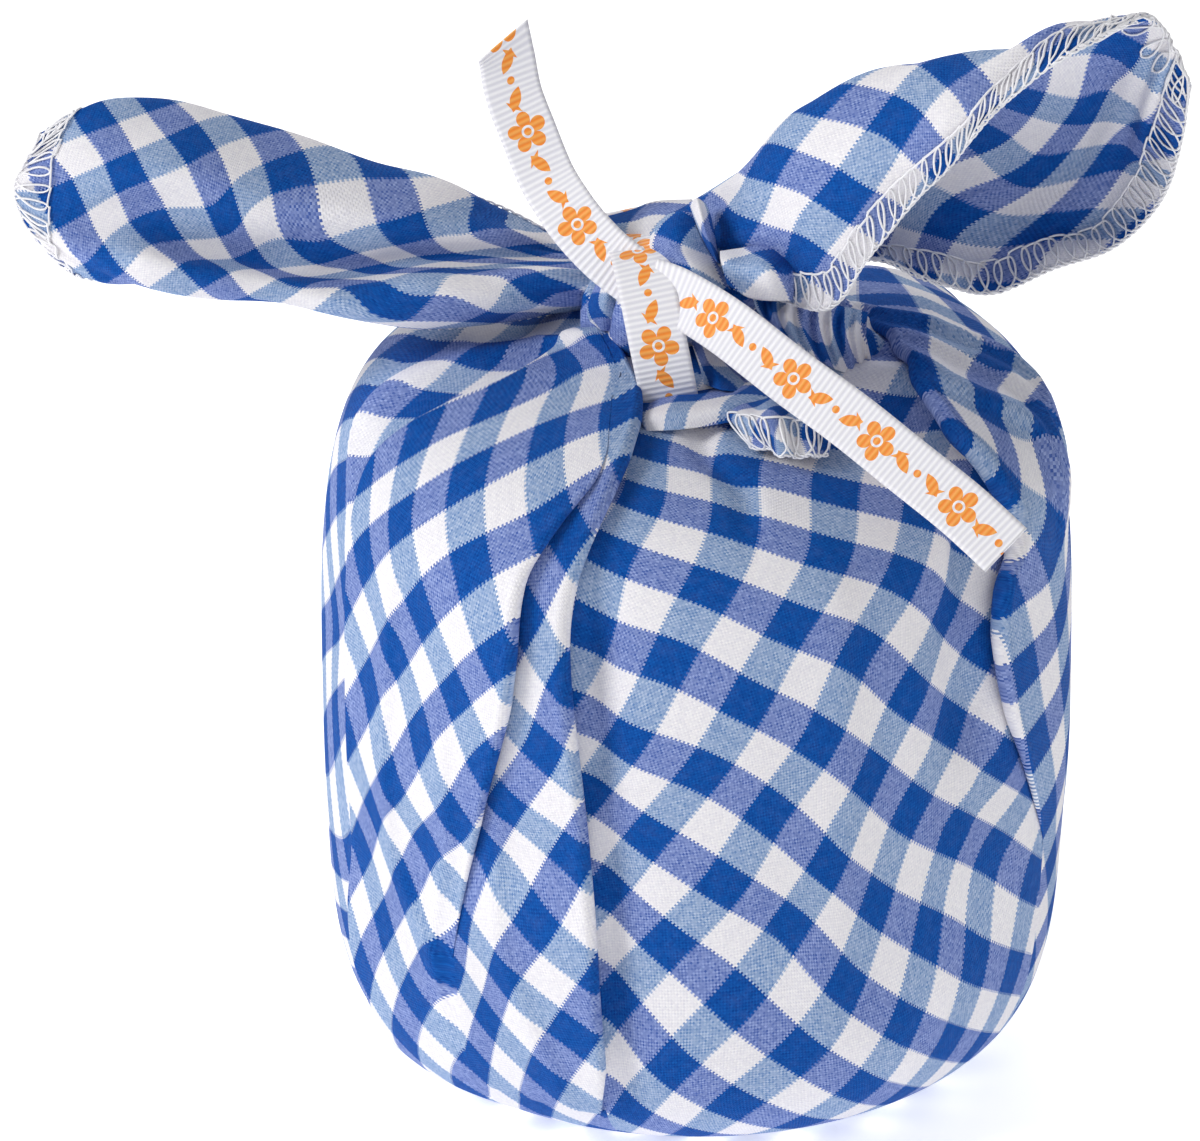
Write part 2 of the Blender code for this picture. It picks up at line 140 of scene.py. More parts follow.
RIGHT_WRAP_EDGE = (
    (846, 322, 0.6), (870, 338, 1.8), (892, 352, 2.8), (906, 376, 3.4), (926, 402, 3.8), (946, 435, 4.2),
    (974, 462, 4.6), (992, 490, 4.8), (1012, 518, 5.0), (1012, 552, 4.8), (996, 588, 4.4), (993, 635, 4.0),
    (1000, 680, 3.8), (1008, 720, 3.2), (1020, 752, 2.6), (1034, 800, 1.4), (1044, 845, 0.0),
)
BACK_LEFT_EDGE = (
    (math.radians(-128), 0, 2.0), (math.radians(-134), 45, 3.0), (math.radians(-146), 95, 3.4),
    (math.radians(-158), 130, 3.0), (math.radians(-168), 175, 2.0),
)
BACK_RIGHT_EDGE = (
    (math.radians(124), 0, 2.0), (math.radians(131), 45, 3.0), (math.radians(143), 95, 3.4),
    (math.radians(152), 130, 3.0), (math.radians(160), 175, 2.0),
)
TUCK = 0.9
ROLL_RUN_OUT = 42.0
ROLL_STEPS, ROLL_SHOWS = 11, 7
# The body's mesh: rows round its foot and above it, and columns in each panel from the back's middle round.
FOOT = 30
FOOT_ROWS, BODY_ROWS = 28, 152
PANEL_COLUMNS = (34, 60, 90, 26, 112, 86, 34)
# The zones of checks: left wrap, strip, front, right, back and outer left, each with the angle that it faces.
ZONE_FACINGS = (-1.15, -0.4, 0.15, 1.2, math.pi, -1.15)

# Creases and pleats: pixels along it, height, width to the left and to the right of it.
PLEATS = (
    (((845, 620), (852, 800), (838, 1020)), 0.8, 6.0, 3.0),
    (((925, 700), (935, 860), (905, 1040)), 0.8, 5.0, 2.5),
    (((970, 590), (977, 780), (950, 980)), 0.9, 4.5, 2.0),
    (((350, 420), (344, 460), (343, 520)), 0.9, 2.5, 1.8),
    (((392, 620), (383, 760), (392, 860), (432, 960)), 0.9, 4.0, 1.8),
    (((448, 780), (452, 840), (430, 930)), 0.8, 3.0, 1.6),
    (((498, 840), (496, 930), (522, 1010), (560, 1080)), 0.9, 4.0, 1.8),
    (((596, 338), (540, 340), (460, 354), (385, 388)), 1.6, 4.0, 2.0),
    (((850, 312), (880, 324), (905, 328), (945, 336), (985, 347), (1015, 360), (1044, 405)), 2.2, 1.4, 5.0),
    (((856, 330), (885, 340), (920, 352), (960, 362), (1000, 372), (1030, 395), (1048, 440)), 1.8, 1.4, 5.0),
    (((915, 372), (940, 392), (965, 402), (1000, 412), (1030, 430), (1050, 475)), 2.0, 1.4, 5.0),
)
# Hollows in the front panel beside the folds that lie over it.
HOLLOWS = (
    (((895, 402), (930, 440), (960, 478), (982, 520), (975, 560), (968, 620), (975, 700)), -3.5, 5.0, 6.0),
    (((705, 432), (712, 450), (745, 478)), -1.5, 3.0, 2.0),
    (((586, 655), (584, 700), (592, 760)), -2.5, 3.0, 4.0),
    (((604, 880), (606, 980), (612, 1080)), -2.0, 3.0, 4.0),
)
BACK_PLEATS = (
    (math.radians(128), 1.3, 5.0),
    (math.radians(150), 1.8, 6.0),
    (math.radians(171), 2.2, 5.0),
    (math.radians(-166), 1.8, 6.0),
    (math.radians(-143), 1.6, 7.0),
    (math.radians(-122), 1.2, 6.0),
)

# Checks read along the lattice: check number down, first check number across, and every second check's pixel.
FRONT_CHECKS = (
    (0, 0, ((650, 450), (736, 470), (835, 493))),
    (2, 0, ((643, 501), (736, 526), (832, 552), (905, 579), (945, 612), (984, 645))),
    (4, 0, ((609, 555), (709, 589), (792, 625), (860, 650), (908, 697), (948, 725), (1007, 761))),
    (6, 0, ((593, 632), (669, 662), (746, 705), (820, 742), (870, 778), (912, 812), (957, 836), (992, 850))),
    (8, 2, ((626, 742), (703, 775), (770, 812), (829, 868), (878, 905), (927, 936), (978, 963))),
    (10, 2, ((590, 795), (648, 836), (724, 884), (789, 925), (847, 985))),
    (12, 4, ((606, 887), (665, 948), (734, 1001), (801, 1056), (860, 1090))),
    (14, 6, ((615, 1001), (672, 1066), (732, 1104))),
)
LEFT_CHECKS = (
    (0, 2, ((566, 362), (497, 402), (420, 434), (362, 470))),
    (2, 2, ((549, 436), (466, 478), (398, 520), (363, 558))),
    (4, 2, ((552, 524), (471, 567), (420, 616), (394, 653), (370, 690))),
    (6, 4, ((497, 660), (455, 697), (419, 738), (391, 786), (374, 812), (361, 850))),
    (8, 6, ((485, 768), (455, 822), (427, 844), (403, 889), (385, 925))),
    (10, 12, ((433, 966), (414, 998))),
)
LEFT_OUTER_CHECKS = (
    (-4, 2, ((554, 351), (486, 353), (420, 354))),
    (-2, 4, ((424, 402), (352, 403), (328, 424))),
    (0, 6, ((342, 487), (328, 508))),
    (2, 6, ((346, 598), (334, 622))),
    (4, 6, ((347, 700), (335, 720))),
    (6, 8, ((351, 864),)),
)
STRIP_CHECKS = (
    (4, -2, ((614, 347),)),
    (6, -2, ((621, 412),)),
    (8, 0, ((567, 541), (526, 620))),
    (10, 2, ((566, 684), (545, 750), (506, 805), (482, 845), (460, 920), (436, 968))),
    (12, 6, ((572, 860), (538, 925), (501, 977), (489, 1018), (475, 1062))),
    (14, 10, ((575, 1037),)),
)
RIGHT_CHECKS = (
    (-4, 2, ((946, 448), (912, 382), (895, 315))),
    (-2, 2, ((1006, 490), (987, 408), (1002, 362))),
    (0, 0, ((1006, 592), (1054, 548), (1042, 412))),
    (2, 0, ((1025, 668),)),
    (4, 0, ((1041, 742),)),
    (6, 0, ((1050, 812),)),
)
# How many checks across and down the inner fold takes in, and a length above its foot and below its head.
ABOVE_THE_FOLD = (2, -4)
FOLD_MIDDLE = 70

# The ears' sections from the knot to the tip, as pixel and depth of each point across the cloth.
LEFT_EAR = (
    (((612, 247), 11.0), ((612, 236), 6), ((615, 250), 0), ((616, 262), -4),
     ((618, 275), -9), ((616, 296), -10), ((612, 305), 0), ((618, 288), 5.5)),
    (((560, 249), 11.0), ((560, 240), 6), ((562, 250), -1), ((560, 262), -5),
     ((556, 276), -12), ((552, 300), -12), ((556, 312), -2), ((562, 292), 3.5)),
    (((500, 228), 10.0), ((500, 206), 5), ((498, 232), -5), ((494, 258), -6),
     ((492, 278), -14), ((486, 312), -15), ((494, 322), -5), ((500, 298), 0.5)),
    (((439, 216), 9.0), ((440, 182), 4), ((436, 222), -7), ((428, 262), -7),
     ((426, 284), -16), ((418, 318), -16), ((430, 326), -6), ((436, 303), -0.5)),
    (((371, 205), 8.0), ((372, 160), 3), ((364, 212), -9), ((354, 266), -8),
     ((352, 288), -16), ((345, 314), -16), ((360, 316), -6), ((366, 301), -0.5)),
    (((299, 191), 7.0), ((300, 138), 2), ((290, 200), -10), ((276, 264), -9),
     ((276, 282), -15), ((272, 300), -15), ((288, 298), -7), ((294, 289), -1.5)),
    (((231, 170), 6.0), ((232, 116), 1), ((220, 180), -11), ((206, 244), -10),
     ((208, 270), -16), ((208, 296), -15), ((224, 286), -8), ((230, 277), -2.5)),
    (((168, 152), 5.0), ((170, 101), 0), ((156, 160), -11), ((140, 222), -11),
     ((142, 258), -17), ((144, 286), -15), ((160, 272), -9), ((166, 264), -3.5)),
    (((116, 148), 3.0), ((118, 100), -2), ((100, 155), -10), ((84, 215), -11),
     ((86, 250), -14), ((92, 272), -13), ((96, 280), -9), ((102, 264), -3.5)),
    (((74, 137), -1.7), ((76, 112), -5), ((52, 160), -8), ((42, 208), -10),
     ((48, 238), -11), ((58, 254), -11), ((72, 268), -8), ((76, 258), -4.4)),
    (((41, 142), -4.5), ((42, 136), -6), ((22, 168), -7), ((16, 196), -8),
     ((24, 218), -9), ((36, 234), -9), ((50, 248), -7), ((51, 244), -5.3)),
)
RIGHT_EAR = (
    (((690, 290), -14), ((680, 250), -14), ((680, 212), -8), ((684, 220), 0), ((690, 250), 2), ((696, 270), 0)),
    (((735, 293), -19), ((720, 240), -19), ((724, 184), -12), ((738, 200), 0), ((752, 236), 2), ((768, 262), -4)),
    (((786, 300), -26), ((765, 225), -27), ((752, 160), -18), ((780, 180), -2), ((812, 228), 0), ((838, 262), -8)),
    (((832, 306), -33), ((805, 205), -33), ((795, 112), -22), ((835, 160), -4), ((868, 226), -2), ((882, 262), -12)),
    (((866, 260), -37), ((850, 170), -37), ((850, 82), -25), ((895, 150), -6), ((918, 224), -4), ((935, 280), -14)),
    (((908, 208), -38), ((902, 135), -39), ((908, 64), -28), ((958, 140), -8), ((975, 220), -6), ((990, 294), -16)),
    (((946, 170), -40), ((950, 110), -42), ((964, 57), -31), ((1015, 130), -10), ((1035, 218), -8), ((1050, 268), -17)),
    (((990, 116), -42), ((1001, 84), -41.5), ((1016, 48), -34), ((1070, 110), -14), ((1092, 205), -12),
     ((1112, 248), -19)),
    (((1042, 72), -42), ((1051, 47), -40), ((1066, 28), -34), ((1108, 80), -20), ((1134, 158), -18),
     ((1160, 200), -23)),
    (((1088, 44), -41), ((1100, 27), -38), ((1118, 23), -32), ((1140, 62), -28), ((1156, 112), -26),
     ((1180, 142), -27)),
    (((1130, 22), -37), ((1142, 17), -35), ((1154, 20), -33), ((1168, 38), -32), ((1180, 62), -31), ((1190, 84), -30)),
)

# Blue checks seen on the ears: check number across and down, then the pixel.
LEFT_EAR_CHECKS = (
    (0, 0, 193, 142), (2, 0, 227, 221), (0, 2, 124, 174), (0, -2, 256, 126), (2, -2, 288, 175), (4, -2, 322, 254),
    (2, 2, 153, 229), (2, -4, 375, 158), (4, -4, 404, 233), (4, -6, 493, 211), (0, 4, 65, 205), (-2, 2, 94, 118),
    (3, -5, 441, 193), (4, -5, 450, 217), (5, -5, 462, 247), (5, -6, 507, 240), (5, -7, 542, 240),
    (3, -3, 346, 208), (3, -1, 258, 222),
)
LEFT_EAR_TURN_CHECKS = (
    (2, 4, 104, 270), (4, 2, 204, 270), (6, 0, 306, 282), (8, 0, 396, 308), (10, -2, 535, 287), (7, 0, 342, 283),
    (8, -1, 418, 283), (9, 0, 454, 310), (9, -1, 482, 294), (9, -2, 507, 272), (8, -2, 442, 267), (10, -3, 581, 276),
)
RIGHT_EAR_CHECKS = (
    (0, 0, 847, 200), (-2, 0, 770, 164), (0, -2, 899, 120), (-2, -2, 819, 102), (0, -4, 947, 66), (-2, 2, 731, 234),
    (0, 2, 803, 256),
)
INNER_EAR_CHECKS = (
    (0, -8, 1120, 45), (-2, -8, 1085, 114), (-4, -8, 1033, 174), (-4, -6, 985, 134), (-4, -10, 1115, 152),
    (-6, -8, 950, 216), (-6, -10, 1052, 226),
)

# The knot's gathered strands, as pixel, depth, half width and half thickness.
KNOT_STRANDS = (
    (((600, 296), -5, 7, 12), ((628, 300), -5, 13.0, 19), ((672, 306), -5, 13.0, 19), ((706, 318), -5, 10, 13),
     ((742, 334), -5, 7, 9)),
    (((612, 262), 2, 5, 5), ((640, 246), -3, 6, 6), ((672, 252), -8, 7, 7), ((700, 285), -12, 8, 7),
     ((712, 325), -12, 7, 6)),
    (((584, 302), -8, 6, 5), ((612, 308), -10, 7, 6), ((645, 318), -11, 8, 7), ((690, 330), -10, 8, 7),
     ((735, 340), -7, 8, 7)),
    (((606, 334), -8, 7, 6), ((634, 372), -14, 7, 6), ((642, 404), -20, 5, 4), ((650, 420), -22, 3, 3)),
    (((660, 330), -4, 16, 14), ((690, 352), -4, 17, 13), ((720, 375), -6, 14, 9)),
    (((730, 325), -4, 9, 8), ((785, 340), -3, 11, 8), ((845, 360), -5, 8, 7), ((885, 385), -10, 6, 5)),
    (((700, 262), -8, 7, 7), ((735, 262), -13, 8, 6), ((775, 275), -17, 7, 5)),
)
# The knot's outer folds of cloth, as rows of pixels and depths, then checks with their pixels, then how many
# small pleats run along the fold and how high they are.
KNOT_FOLDS = (
    ((((603, 217), -8), ((609, 228), -13), ((618, 247), -15)),
     (((630, 210), -6), ((634, 224), -13), ((640, 242), -17)),
     (((655, 201), -4), ((655, 218), -13), ((652, 240), -18)),
     (((692, 199), -4), ((692, 215), -13), ((690, 236), -18))),
    ((((668, 214), -18), ((680, 211), -19), ((693, 213), -19)),
     (((655, 227), -20), ((675, 226), -22), ((698, 230), -21)),
     (((650, 248), -21), ((677, 247), -24), ((708, 249), -22)),
     (((666, 268), -24), ((692, 266), -27), ((721, 270), -24)),
     (((676, 279), -25), ((700, 284), -28), ((731, 290), -26))),
    ((((689, 203), -18), ((697, 198), -21), ((706, 204), -18)),
     (((694, 218), -22), ((702, 216), -25), ((711, 216), -21)),
     (((700, 233), -23), ((706, 232), -26), ((714, 232), -22)),
     (((707, 247), -23), ((712, 247), -25), ((717, 248), -22)),
     (((716, 262), -23), ((718, 262), -24), ((720, 263), -22))),
    ((((720, 251), -25), ((721, 262), -28), ((727, 284), -28)),
     (((740, 248), -25), ((744, 268), -31), ((750, 298), -30)),
     (((768, 245), -26), ((774, 268), -33), ((780, 301), -32)),
     (((804, 256), -26.5), ((803, 274), -27.5), ((800, 299), -26.5))),
    ((((600, 276), -15), ((611, 275), -19), ((621, 277), -17)),
     (((589, 300), -15), ((604, 299), -21), ((623, 300), -19)),
     (((588, 317), -15), ((604, 316), -20), ((624, 317), -19)),
     (((597, 330), -14), ((606, 331), -17), ((624, 330), -15))),
    ((((684, 318), -16), ((700, 330), -19.5), ((718, 342), -17.5)),
     (((692, 344), -19.5), ((706, 352), -24), ((724, 362), -22)),
     (((700, 368), -24), ((716, 374), -29), ((742, 380), -26)),
     (((704, 384), -26.5), ((722, 390), -32), ((752, 394), -29))),
    ((((641, 407), -32), ((640, 418), -36.5), ((646, 431), -38.5)),
     (((672, 394), -30), ((674, 410), -38), ((676, 430), -40.5)),
     (((702, 390), -29), ((706, 408), -38), ((708, 426), -39)),
     (((736, 384), -26.5), ((742, 400), -36), ((746, 419), -38)),
     (((770, 380), -25), ((778, 394), -33.5), ((784, 408), -34)),
     (((802, 378), -22), ((808, 392), -30), ((816, 404), -31.5))),
    ((((752, 294), -25), ((758, 312), -27), ((775, 334), -24)),
     (((784, 299), -25), ((786, 320), -27), ((800, 350), -24)),
     (((815, 303), -22), ((816, 330), -24), ((828, 366), -20)),
     (((842, 306), -16), ((842, 334), -19), ((855, 376), -15)),
     (((868, 312), -9), ((866, 340), -13), ((876, 380), -11))),
)
KNOT_FOLD_CHECKS = (
    ((0, 0, 615, 218), (1, 0, 660, 208), (0, 1, 612, 236), (1, 1, 640, 232)),
    ((0, 0, 675, 226), (1, 0, 670, 252), (0, 1, 700, 238), (1, 1, 701, 262)),
    ((1, 1, 701, 209), (1.2, 1.7, 706, 228), (0, 2, 713, 250)),
    ((0, 1, 745, 268), (0, 0, 783, 262), (1, 0, 799, 283), (1, 1, 765, 294)),
    ((0, 0, 594, 305), (0, 1, 611, 305), (1, 1, 612, 280)),
    ((1, 0, 700, 350), (1, 1, 714, 358), (2, 0, 716, 384), (2, 1, 735, 374)),
    ((1, 1, 655, 419), (2, 1, 675, 414), (3, 1, 706, 407), (4, 1, 750, 402), (4, 0, 765, 392)),
    ((2, 0, 768, 308), (1, 1, 788, 311), (0, 1, 792, 327), (1, 2, 813, 330), (1, 3, 826, 332), (0, 4, 836, 326)),
)
KNOT_FOLD_PLEATS = ((0, 0.0), (0, 0.0), (0, 0.0), (2, 0.3), (0, 0.0), (2, 0.5), (2, 0.3), (8, 1.1))
# The tucked corner's crumpled tip, its rows from the fold to the overlocked edge.
CORNER_TIP = (
    (((738, 402), -33), ((766, 400), -36), ((798, 400), -34), ((828, 402), -30)),
    (((730, 415), -38.5), ((764, 414), -45), ((798, 412), -42), ((830, 414), -40)),
    (((740, 430), -41), ((768, 432), -48.5), ((800, 432), -45.5), ((830, 434), -43.5)),
    (((750, 443), -43), ((776, 452), -48), ((802, 456), -48), ((828, 454), -45.5)),
)
CORNER_TIP_CHECKS = ((1, 1, 786, 440), (0, 0, 816, 436), (1, 3, 752, 415), (2, 2, 765, 432))

# The ribbon's band round the knot, and its free ends as pixel and depth with the way that their faces lean.
BAND = (
    (-12.0, -4.0, 152.2),
    (-11.3, -13.5, 152.0),
    (-10.0, -22.3, 150.2),
    (-8.7, -27.6, 145.5),
    (-7.4, -30.6, 139.5),
    (-6.1, -31.2, 133.2),
    (-4.8, -29.6, 126.4),
    (-3.8, -22.0, 121.0),
    (-3.4, -8.0, 119.6),
    (-4.0, 4.0, 120.8),
    (-5.6, 13.0, 126.0),
    (-7.6, 17.4, 134.0),
    (-9.8, 14.6, 143.0),
    (-11.6, 6.0, 149.8),
    (-12.1, -2.5, 152.3),
)
BAND_LEAN = (1.0, 0.0, 0.2)
# Where the print's repeat stands at each length's start, and how slanted the raised end is cut.
BAND_PRINT_START, TAIL_UP_PRINT_START, TAIL_DOWN_PRINT_START = 9.8, 8.9, 12.8
TAIL_UP_SLANT = 0.5
TAIL_UP = (
    ((656, 292), -24.5),
    ((630, 274), -21.5),
    ((606, 255), -19.5),
    ((583, 231), -17.5),
    ((564, 206), -15.5),
    ((546, 176), -12.5),
    ((528, 132), -10.5),
    ((514, 95), -9.0),
    ((507, 60), -8.0),
    ((503, 40), -8.0),
)
TAIL_UP_ACROSS = ((0.66, -0.05, 0.75), (0.84, 0.1, 0.52), (0.9, 0.3, 0.3))
TAIL_DOWN = (
    ((650, 286), -25.0),
    ((680, 298), -28.6),
    ((728, 328), -36.0),
    ((790, 376), -43.5),
    ((850, 420), -50.0),
    ((905, 464), -57.0),
    ((960, 508), -63.5),
    ((1006, 550), -69.0),
)
TAIL_DOWN_ACROSS = ((0.2, 0.12, 0.97), (0.64, 0.2, 0.74), (0.68, 0.26, 0.68))


# The ribbon's print and ribs, worked out from the way along it and the way aside from its middle line: each row
# is a name, the value that it starts from, and its operations with their further values.
PRINT_STEPS = (
    # Each repeat is measured from its middle, and every other one is mirrored across the ribbon.
    ("repeat", "along", ("DIVIDE", PRINT_PITCH)),
    ("odd", "repeat", ("FLOOR",), ("FLOORED_MODULO", 2.0)),
    ("x", "repeat", ("FRACT",), ("SUBTRACT", 0.5), ("MULTIPLY", PRINT_PITCH)),
    ("y", "odd", ("MULTIPLY_ADD", -2.0, 1.0), ("MULTIPLY", "aside")),
    ("y squared", "y", ("MULTIPLY", "y")),
    # The flower: five round petals about a small open eye.
    ("radius", "x", ("MULTIPLY", "x"), ("ADD", "y squared"), ("SQRT",)),
    ("petal", "y", ("ARCTAN2", "x"), ("MULTIPLY", 2.5), ("COSINE",), ("ABSOLUTE",), ("POWER", 0.55),
     ("MULTIPLY_ADD", 2.1, 1.3)),
    ("eye", "radius", ("COMPARE", 0.85, 0.2)),
    ("flower", "radius", ("LESS_THAN", "petal"), ("SUBTRACT", "eye"), ("MAXIMUM", 0.0)),
    # A leaf and a bud to each side, and a dot between the repeats.
    ("from middle", "x", ("ABSOLUTE",)),
    ("out", "from middle", ("SUBTRACT", 5.7)),
    ("half out", "out", ("MULTIPLY", 0.5)),
    ("half y", "y", ("MULTIPLY", 0.5)),
    ("lengthways", "out", ("MULTIPLY", 0.86), ("ADD", "half y")),
    ("belly", "lengthways", ("DIVIDE", 2.1), ("POWER", 2.0), ("MULTIPLY_ADD", -0.95, 0.95)),
    ("leaf", "y", ("MULTIPLY", 0.86), ("SUBTRACT", "half out"), ("ABSOLUTE",), ("LESS_THAN", "belly")),
    ("bud way", "out", ("MULTIPLY", -0.9)),
    ("bud edge", "out", ("ADD", 1.1), ("ABSOLUTE",), ("MULTIPLY_ADD", -0.5, 0.62)),
    ("bud", "y", ("SUBTRACT", "bud way"), ("ADD", 1.6), ("ABSOLUTE",), ("LESS_THAN", "bud edge")),
    ("dot", "from middle", ("SUBTRACT", PRINT_PITCH / 2), ("POWER", 2.0), ("ADD", "y squared"), ("LESS_THAN", 0.42)),
    ("printed", "flower", ("MAXIMUM", "leaf"), ("MAXIMUM", "bud"), ("MAXIMUM", "dot")),
    # The ribs' relief, used also as a painted shade that darkens yarn and ink in each rib's valley.
    ("rib", "along", ("MULTIPLY", 2 * math.pi / RIB_PITCH), ("SINE",), ("MULTIPLY_ADD", 0.5, 0.5)),
)


def sight_line(pixel):
    """The camera's place and the direction of the line of sight through a pixel."""
    across, rise = (np.array(pixel) - FRAME_CENTRE) / PIXELS_PER_MM
    camera = VIEW_TARGET + VIEW_DISTANCE * VIEW_BACK
    target = VIEW_TARGET + across * VIEW_ACROSS - rise * VIEW_UP
    return camera, (target - camera) / VIEW_DISTANCE


def at_depth(pixel, depth):
    """The point seen at a pixel where it lies this far behind the wrap's axis."""
    camera, direction = sight_line(pixel)
    return camera + direction * (depth - camera[1]) / direction[1]


def seen_at(points):
    """The pixels where points are seen."""
    off = points - VIEW_TARGET
    scale = PIXELS_PER_MM * VIEW_DISTANCE / (VIEW_DISTANCE - off @ VIEW_BACK)
    return np.stack((FRAME_CENTRE[0] + off @ VIEW_ACROSS * scale, FRAME_CENTRE[1] - off @ VIEW_UP * scale), axis=-1)


def smooth_curve(points, count):
    """Points evenly spread along a Catmull-Rom curve through the given ones."""
    points = np.array(points, dtype=float)
    ends = np.vstack((2 * points[0] - points[1], points, 2 * points[-1] - points[-2]))
    places = np.linspace(0, len(points) - 1, count)
    spans = np.minimum(places.astype(int), len(points) - 2)
    t = (places - spans)[:, None]
    a, b, c, d = (ends[spans + k] for k in range(4))
    return 0.5 * (2 * b + (c - a) * t + (2 * a - 5 * b + 4 * c - d) * t ** 2 + (3 * b - a - 3 * c + d) * t ** 3)


def turned(angle, place):
    """The angle from a place, between minus and plus half a turn."""
    return np.mod(angle - place + math.pi, 2 * math.pi) - math.pi


def ramp(value, start, end):
    """A smooth step from 0 at the start to 1 at the end."""
    t = np.clip((value - start) / (end - start), 0, 1)
    return t * t * (3 - 2 * t)


FINE_PROFILE = smooth_curve(PROFILE, 900)
FINE_LENGTHS = np.concatenate(((0,), np.cumsum(np.hypot(*np.diff(FINE_PROFILE, axis=0).T))))
BASE_EDGE = float(np.interp(2 / (len(PROFILE) - 1) * 899, np.arange(900), FINE_LENGTHS))
TOP_END = float(FINE_LENGTHS[-1])
SHOULDER = float(np.interp(10 / (len(PROFILE) - 1) * 899, np.arange(900), FINE_LENGTHS))
BACK_BIAS = 0.9
BACK_TURN = np.array(((math.cos(BACK_BIAS), math.sin(BACK_BIAS)), (-math.sin(BACK_BIAS), math.cos(BACK_BIAS))))


def body_points(angle, length, height):
    """Points that stand a height off the drum, at angles from the front and lengths along its profile."""
    radius = np.maximum(np.interp(length, FINE_LENGTHS, FINE_PROFILE[:, 0]), 0)
    level = np.maximum(np.interp(length, FINE_LENGTHS, FINE_PROFILE[:, 1]), 0)
    along = np.gradient(FINE_PROFILE, FINE_LENGTHS, axis=0)
    along /= np.linalg.norm(along, axis=1)[:, None]
    radius = radius + height * np.interp(length, FINE_LENGTHS, along[:, 1])
    level = level - height * np.interp(length, FINE_LENGTHS, along[:, 0])
    for place, half_width, lift in SHOULDER_LIFTS:
        share = np.clip((level - 100) / 22, 0, 1) * np.clip(radius / 40, 0, 1) ** 2
        level = level + lift * share * np.exp(-(turned(angle, place) / half_width) ** 2)
    shift = ramp(radius, 42, 10) * (level > 60)
    return np.stack((radius * np.sin(angle) + NECK_SHIFT[0] * shift,
                     -radius * np.cos(angle) + NECK_SHIFT[1] * shift, np.maximum(level, 0)), axis=-1)


def on_body(pixel, high):
    """The angle and the profile length where a line of sight first meets the drum at a height off it."""
    angles = np.radians(np.linspace(-150, 150, 601))
    lengths = np.linspace(BASE_EDGE, TOP_END - 4, 500)
    points = body_points(angles[None], lengths[:, None], high)
    seen = seen_at(points)
    nearness = np.hypot(*(seen - np.array(pixel)).transpose(2, 0, 1))
    facing = (points - VIEW_TARGET) @ VIEW_BACK
    score = nearness - 0.02 * facing
    row, column = np.unravel_index(np.argmin(score), score.shape)
    return angles[column], lengths[row]


def line_down(rows, below):
    """A fold's line as lengths up the profile, angles and heights, from the base up, with the height below it."""
    return soft_line([on_body(row[:2], row[2] / 2 + below) + (row[2],) for row in rows])


def soft_line(rows):
    """A line of angles, lengths and heights drawn finely and smoothed, sorted by length."""
    placed = np.array(rows)
    order = np.argsort(placed[:, 1])
    angles, lengths, heights = placed[order].T
    fine = np.linspace(lengths[0], lengths[-1], 240)
    kernel = np.hanning(19)
    kernel /= kernel.sum()

    def soften(values):
        drawn = np.interp(fine, lengths, values)
        return np.convolve(np.pad(drawn, 9, mode="edge"), kernel, mode="valid")

    return fine, soften(angles), soften(heights)


def relief_along(table, angle, length, radius):
    """The height of creases and soft pleats, steep on one side and gentle on the other."""
    relief = np.zeros(np.broadcast(angle, length).shape)
    for pixels, height, left_width, right_width in table:
        lengths, angles, _ = line_down([pixel + (0,) for pixel in pixels], 2)
        away = (angle - np.interp(length, lengths, angles)) * radius
        width = np.where(away < 0, left_width, right_width)
        past = np.maximum(lengths[0] - length, 0) + np.maximum(length - lengths[-1], 0)
        relief += height * np.exp(-(away / width) ** 2 - (past / 9) ** 2)
    return relief


def back_relief(angle, length, radius):
    """The height of the back's plain gathered pleats."""
    relief = np.zeros(np.broadcast(angle, length).shape)
    for place, height, half_width in BACK_PLEATS:
        waver = 0.05 * np.sin(length / 19 + place * 7)
        relief += height * np.exp(-(turned(angle, place + waver) * radius / half_width) ** 2)
    return relief


def lattice(rows):
    """Check numbers with the pixels where they are seen: one row for each blue check."""
    return np.array([(x, y, across + 2 * step, down) for down, across, pixels in rows
                     for step, (x, y) in enumerate(pixels)], dtype=float)


def seen_checks(table):
    """A table of check numbers and pixels, with the pixel first."""
    return np.array([(x, y, across, down) for across, down, x, y in table], dtype=float)


def nearest_places(seen, anchors, allowed):
    """The grid points that lie nearest to the anchors' pixels, among those allowed."""
    pixels = seen.reshape(-1, 2)
    usable = np.flatnonzero(np.broadcast_to(allowed, seen.shape[:2]).ravel())
    return [int(usable[np.argmin(np.hypot(pixels[usable, 0] - x, pixels[usable, 1] - y))]) for x, y, _, _ in anchors]


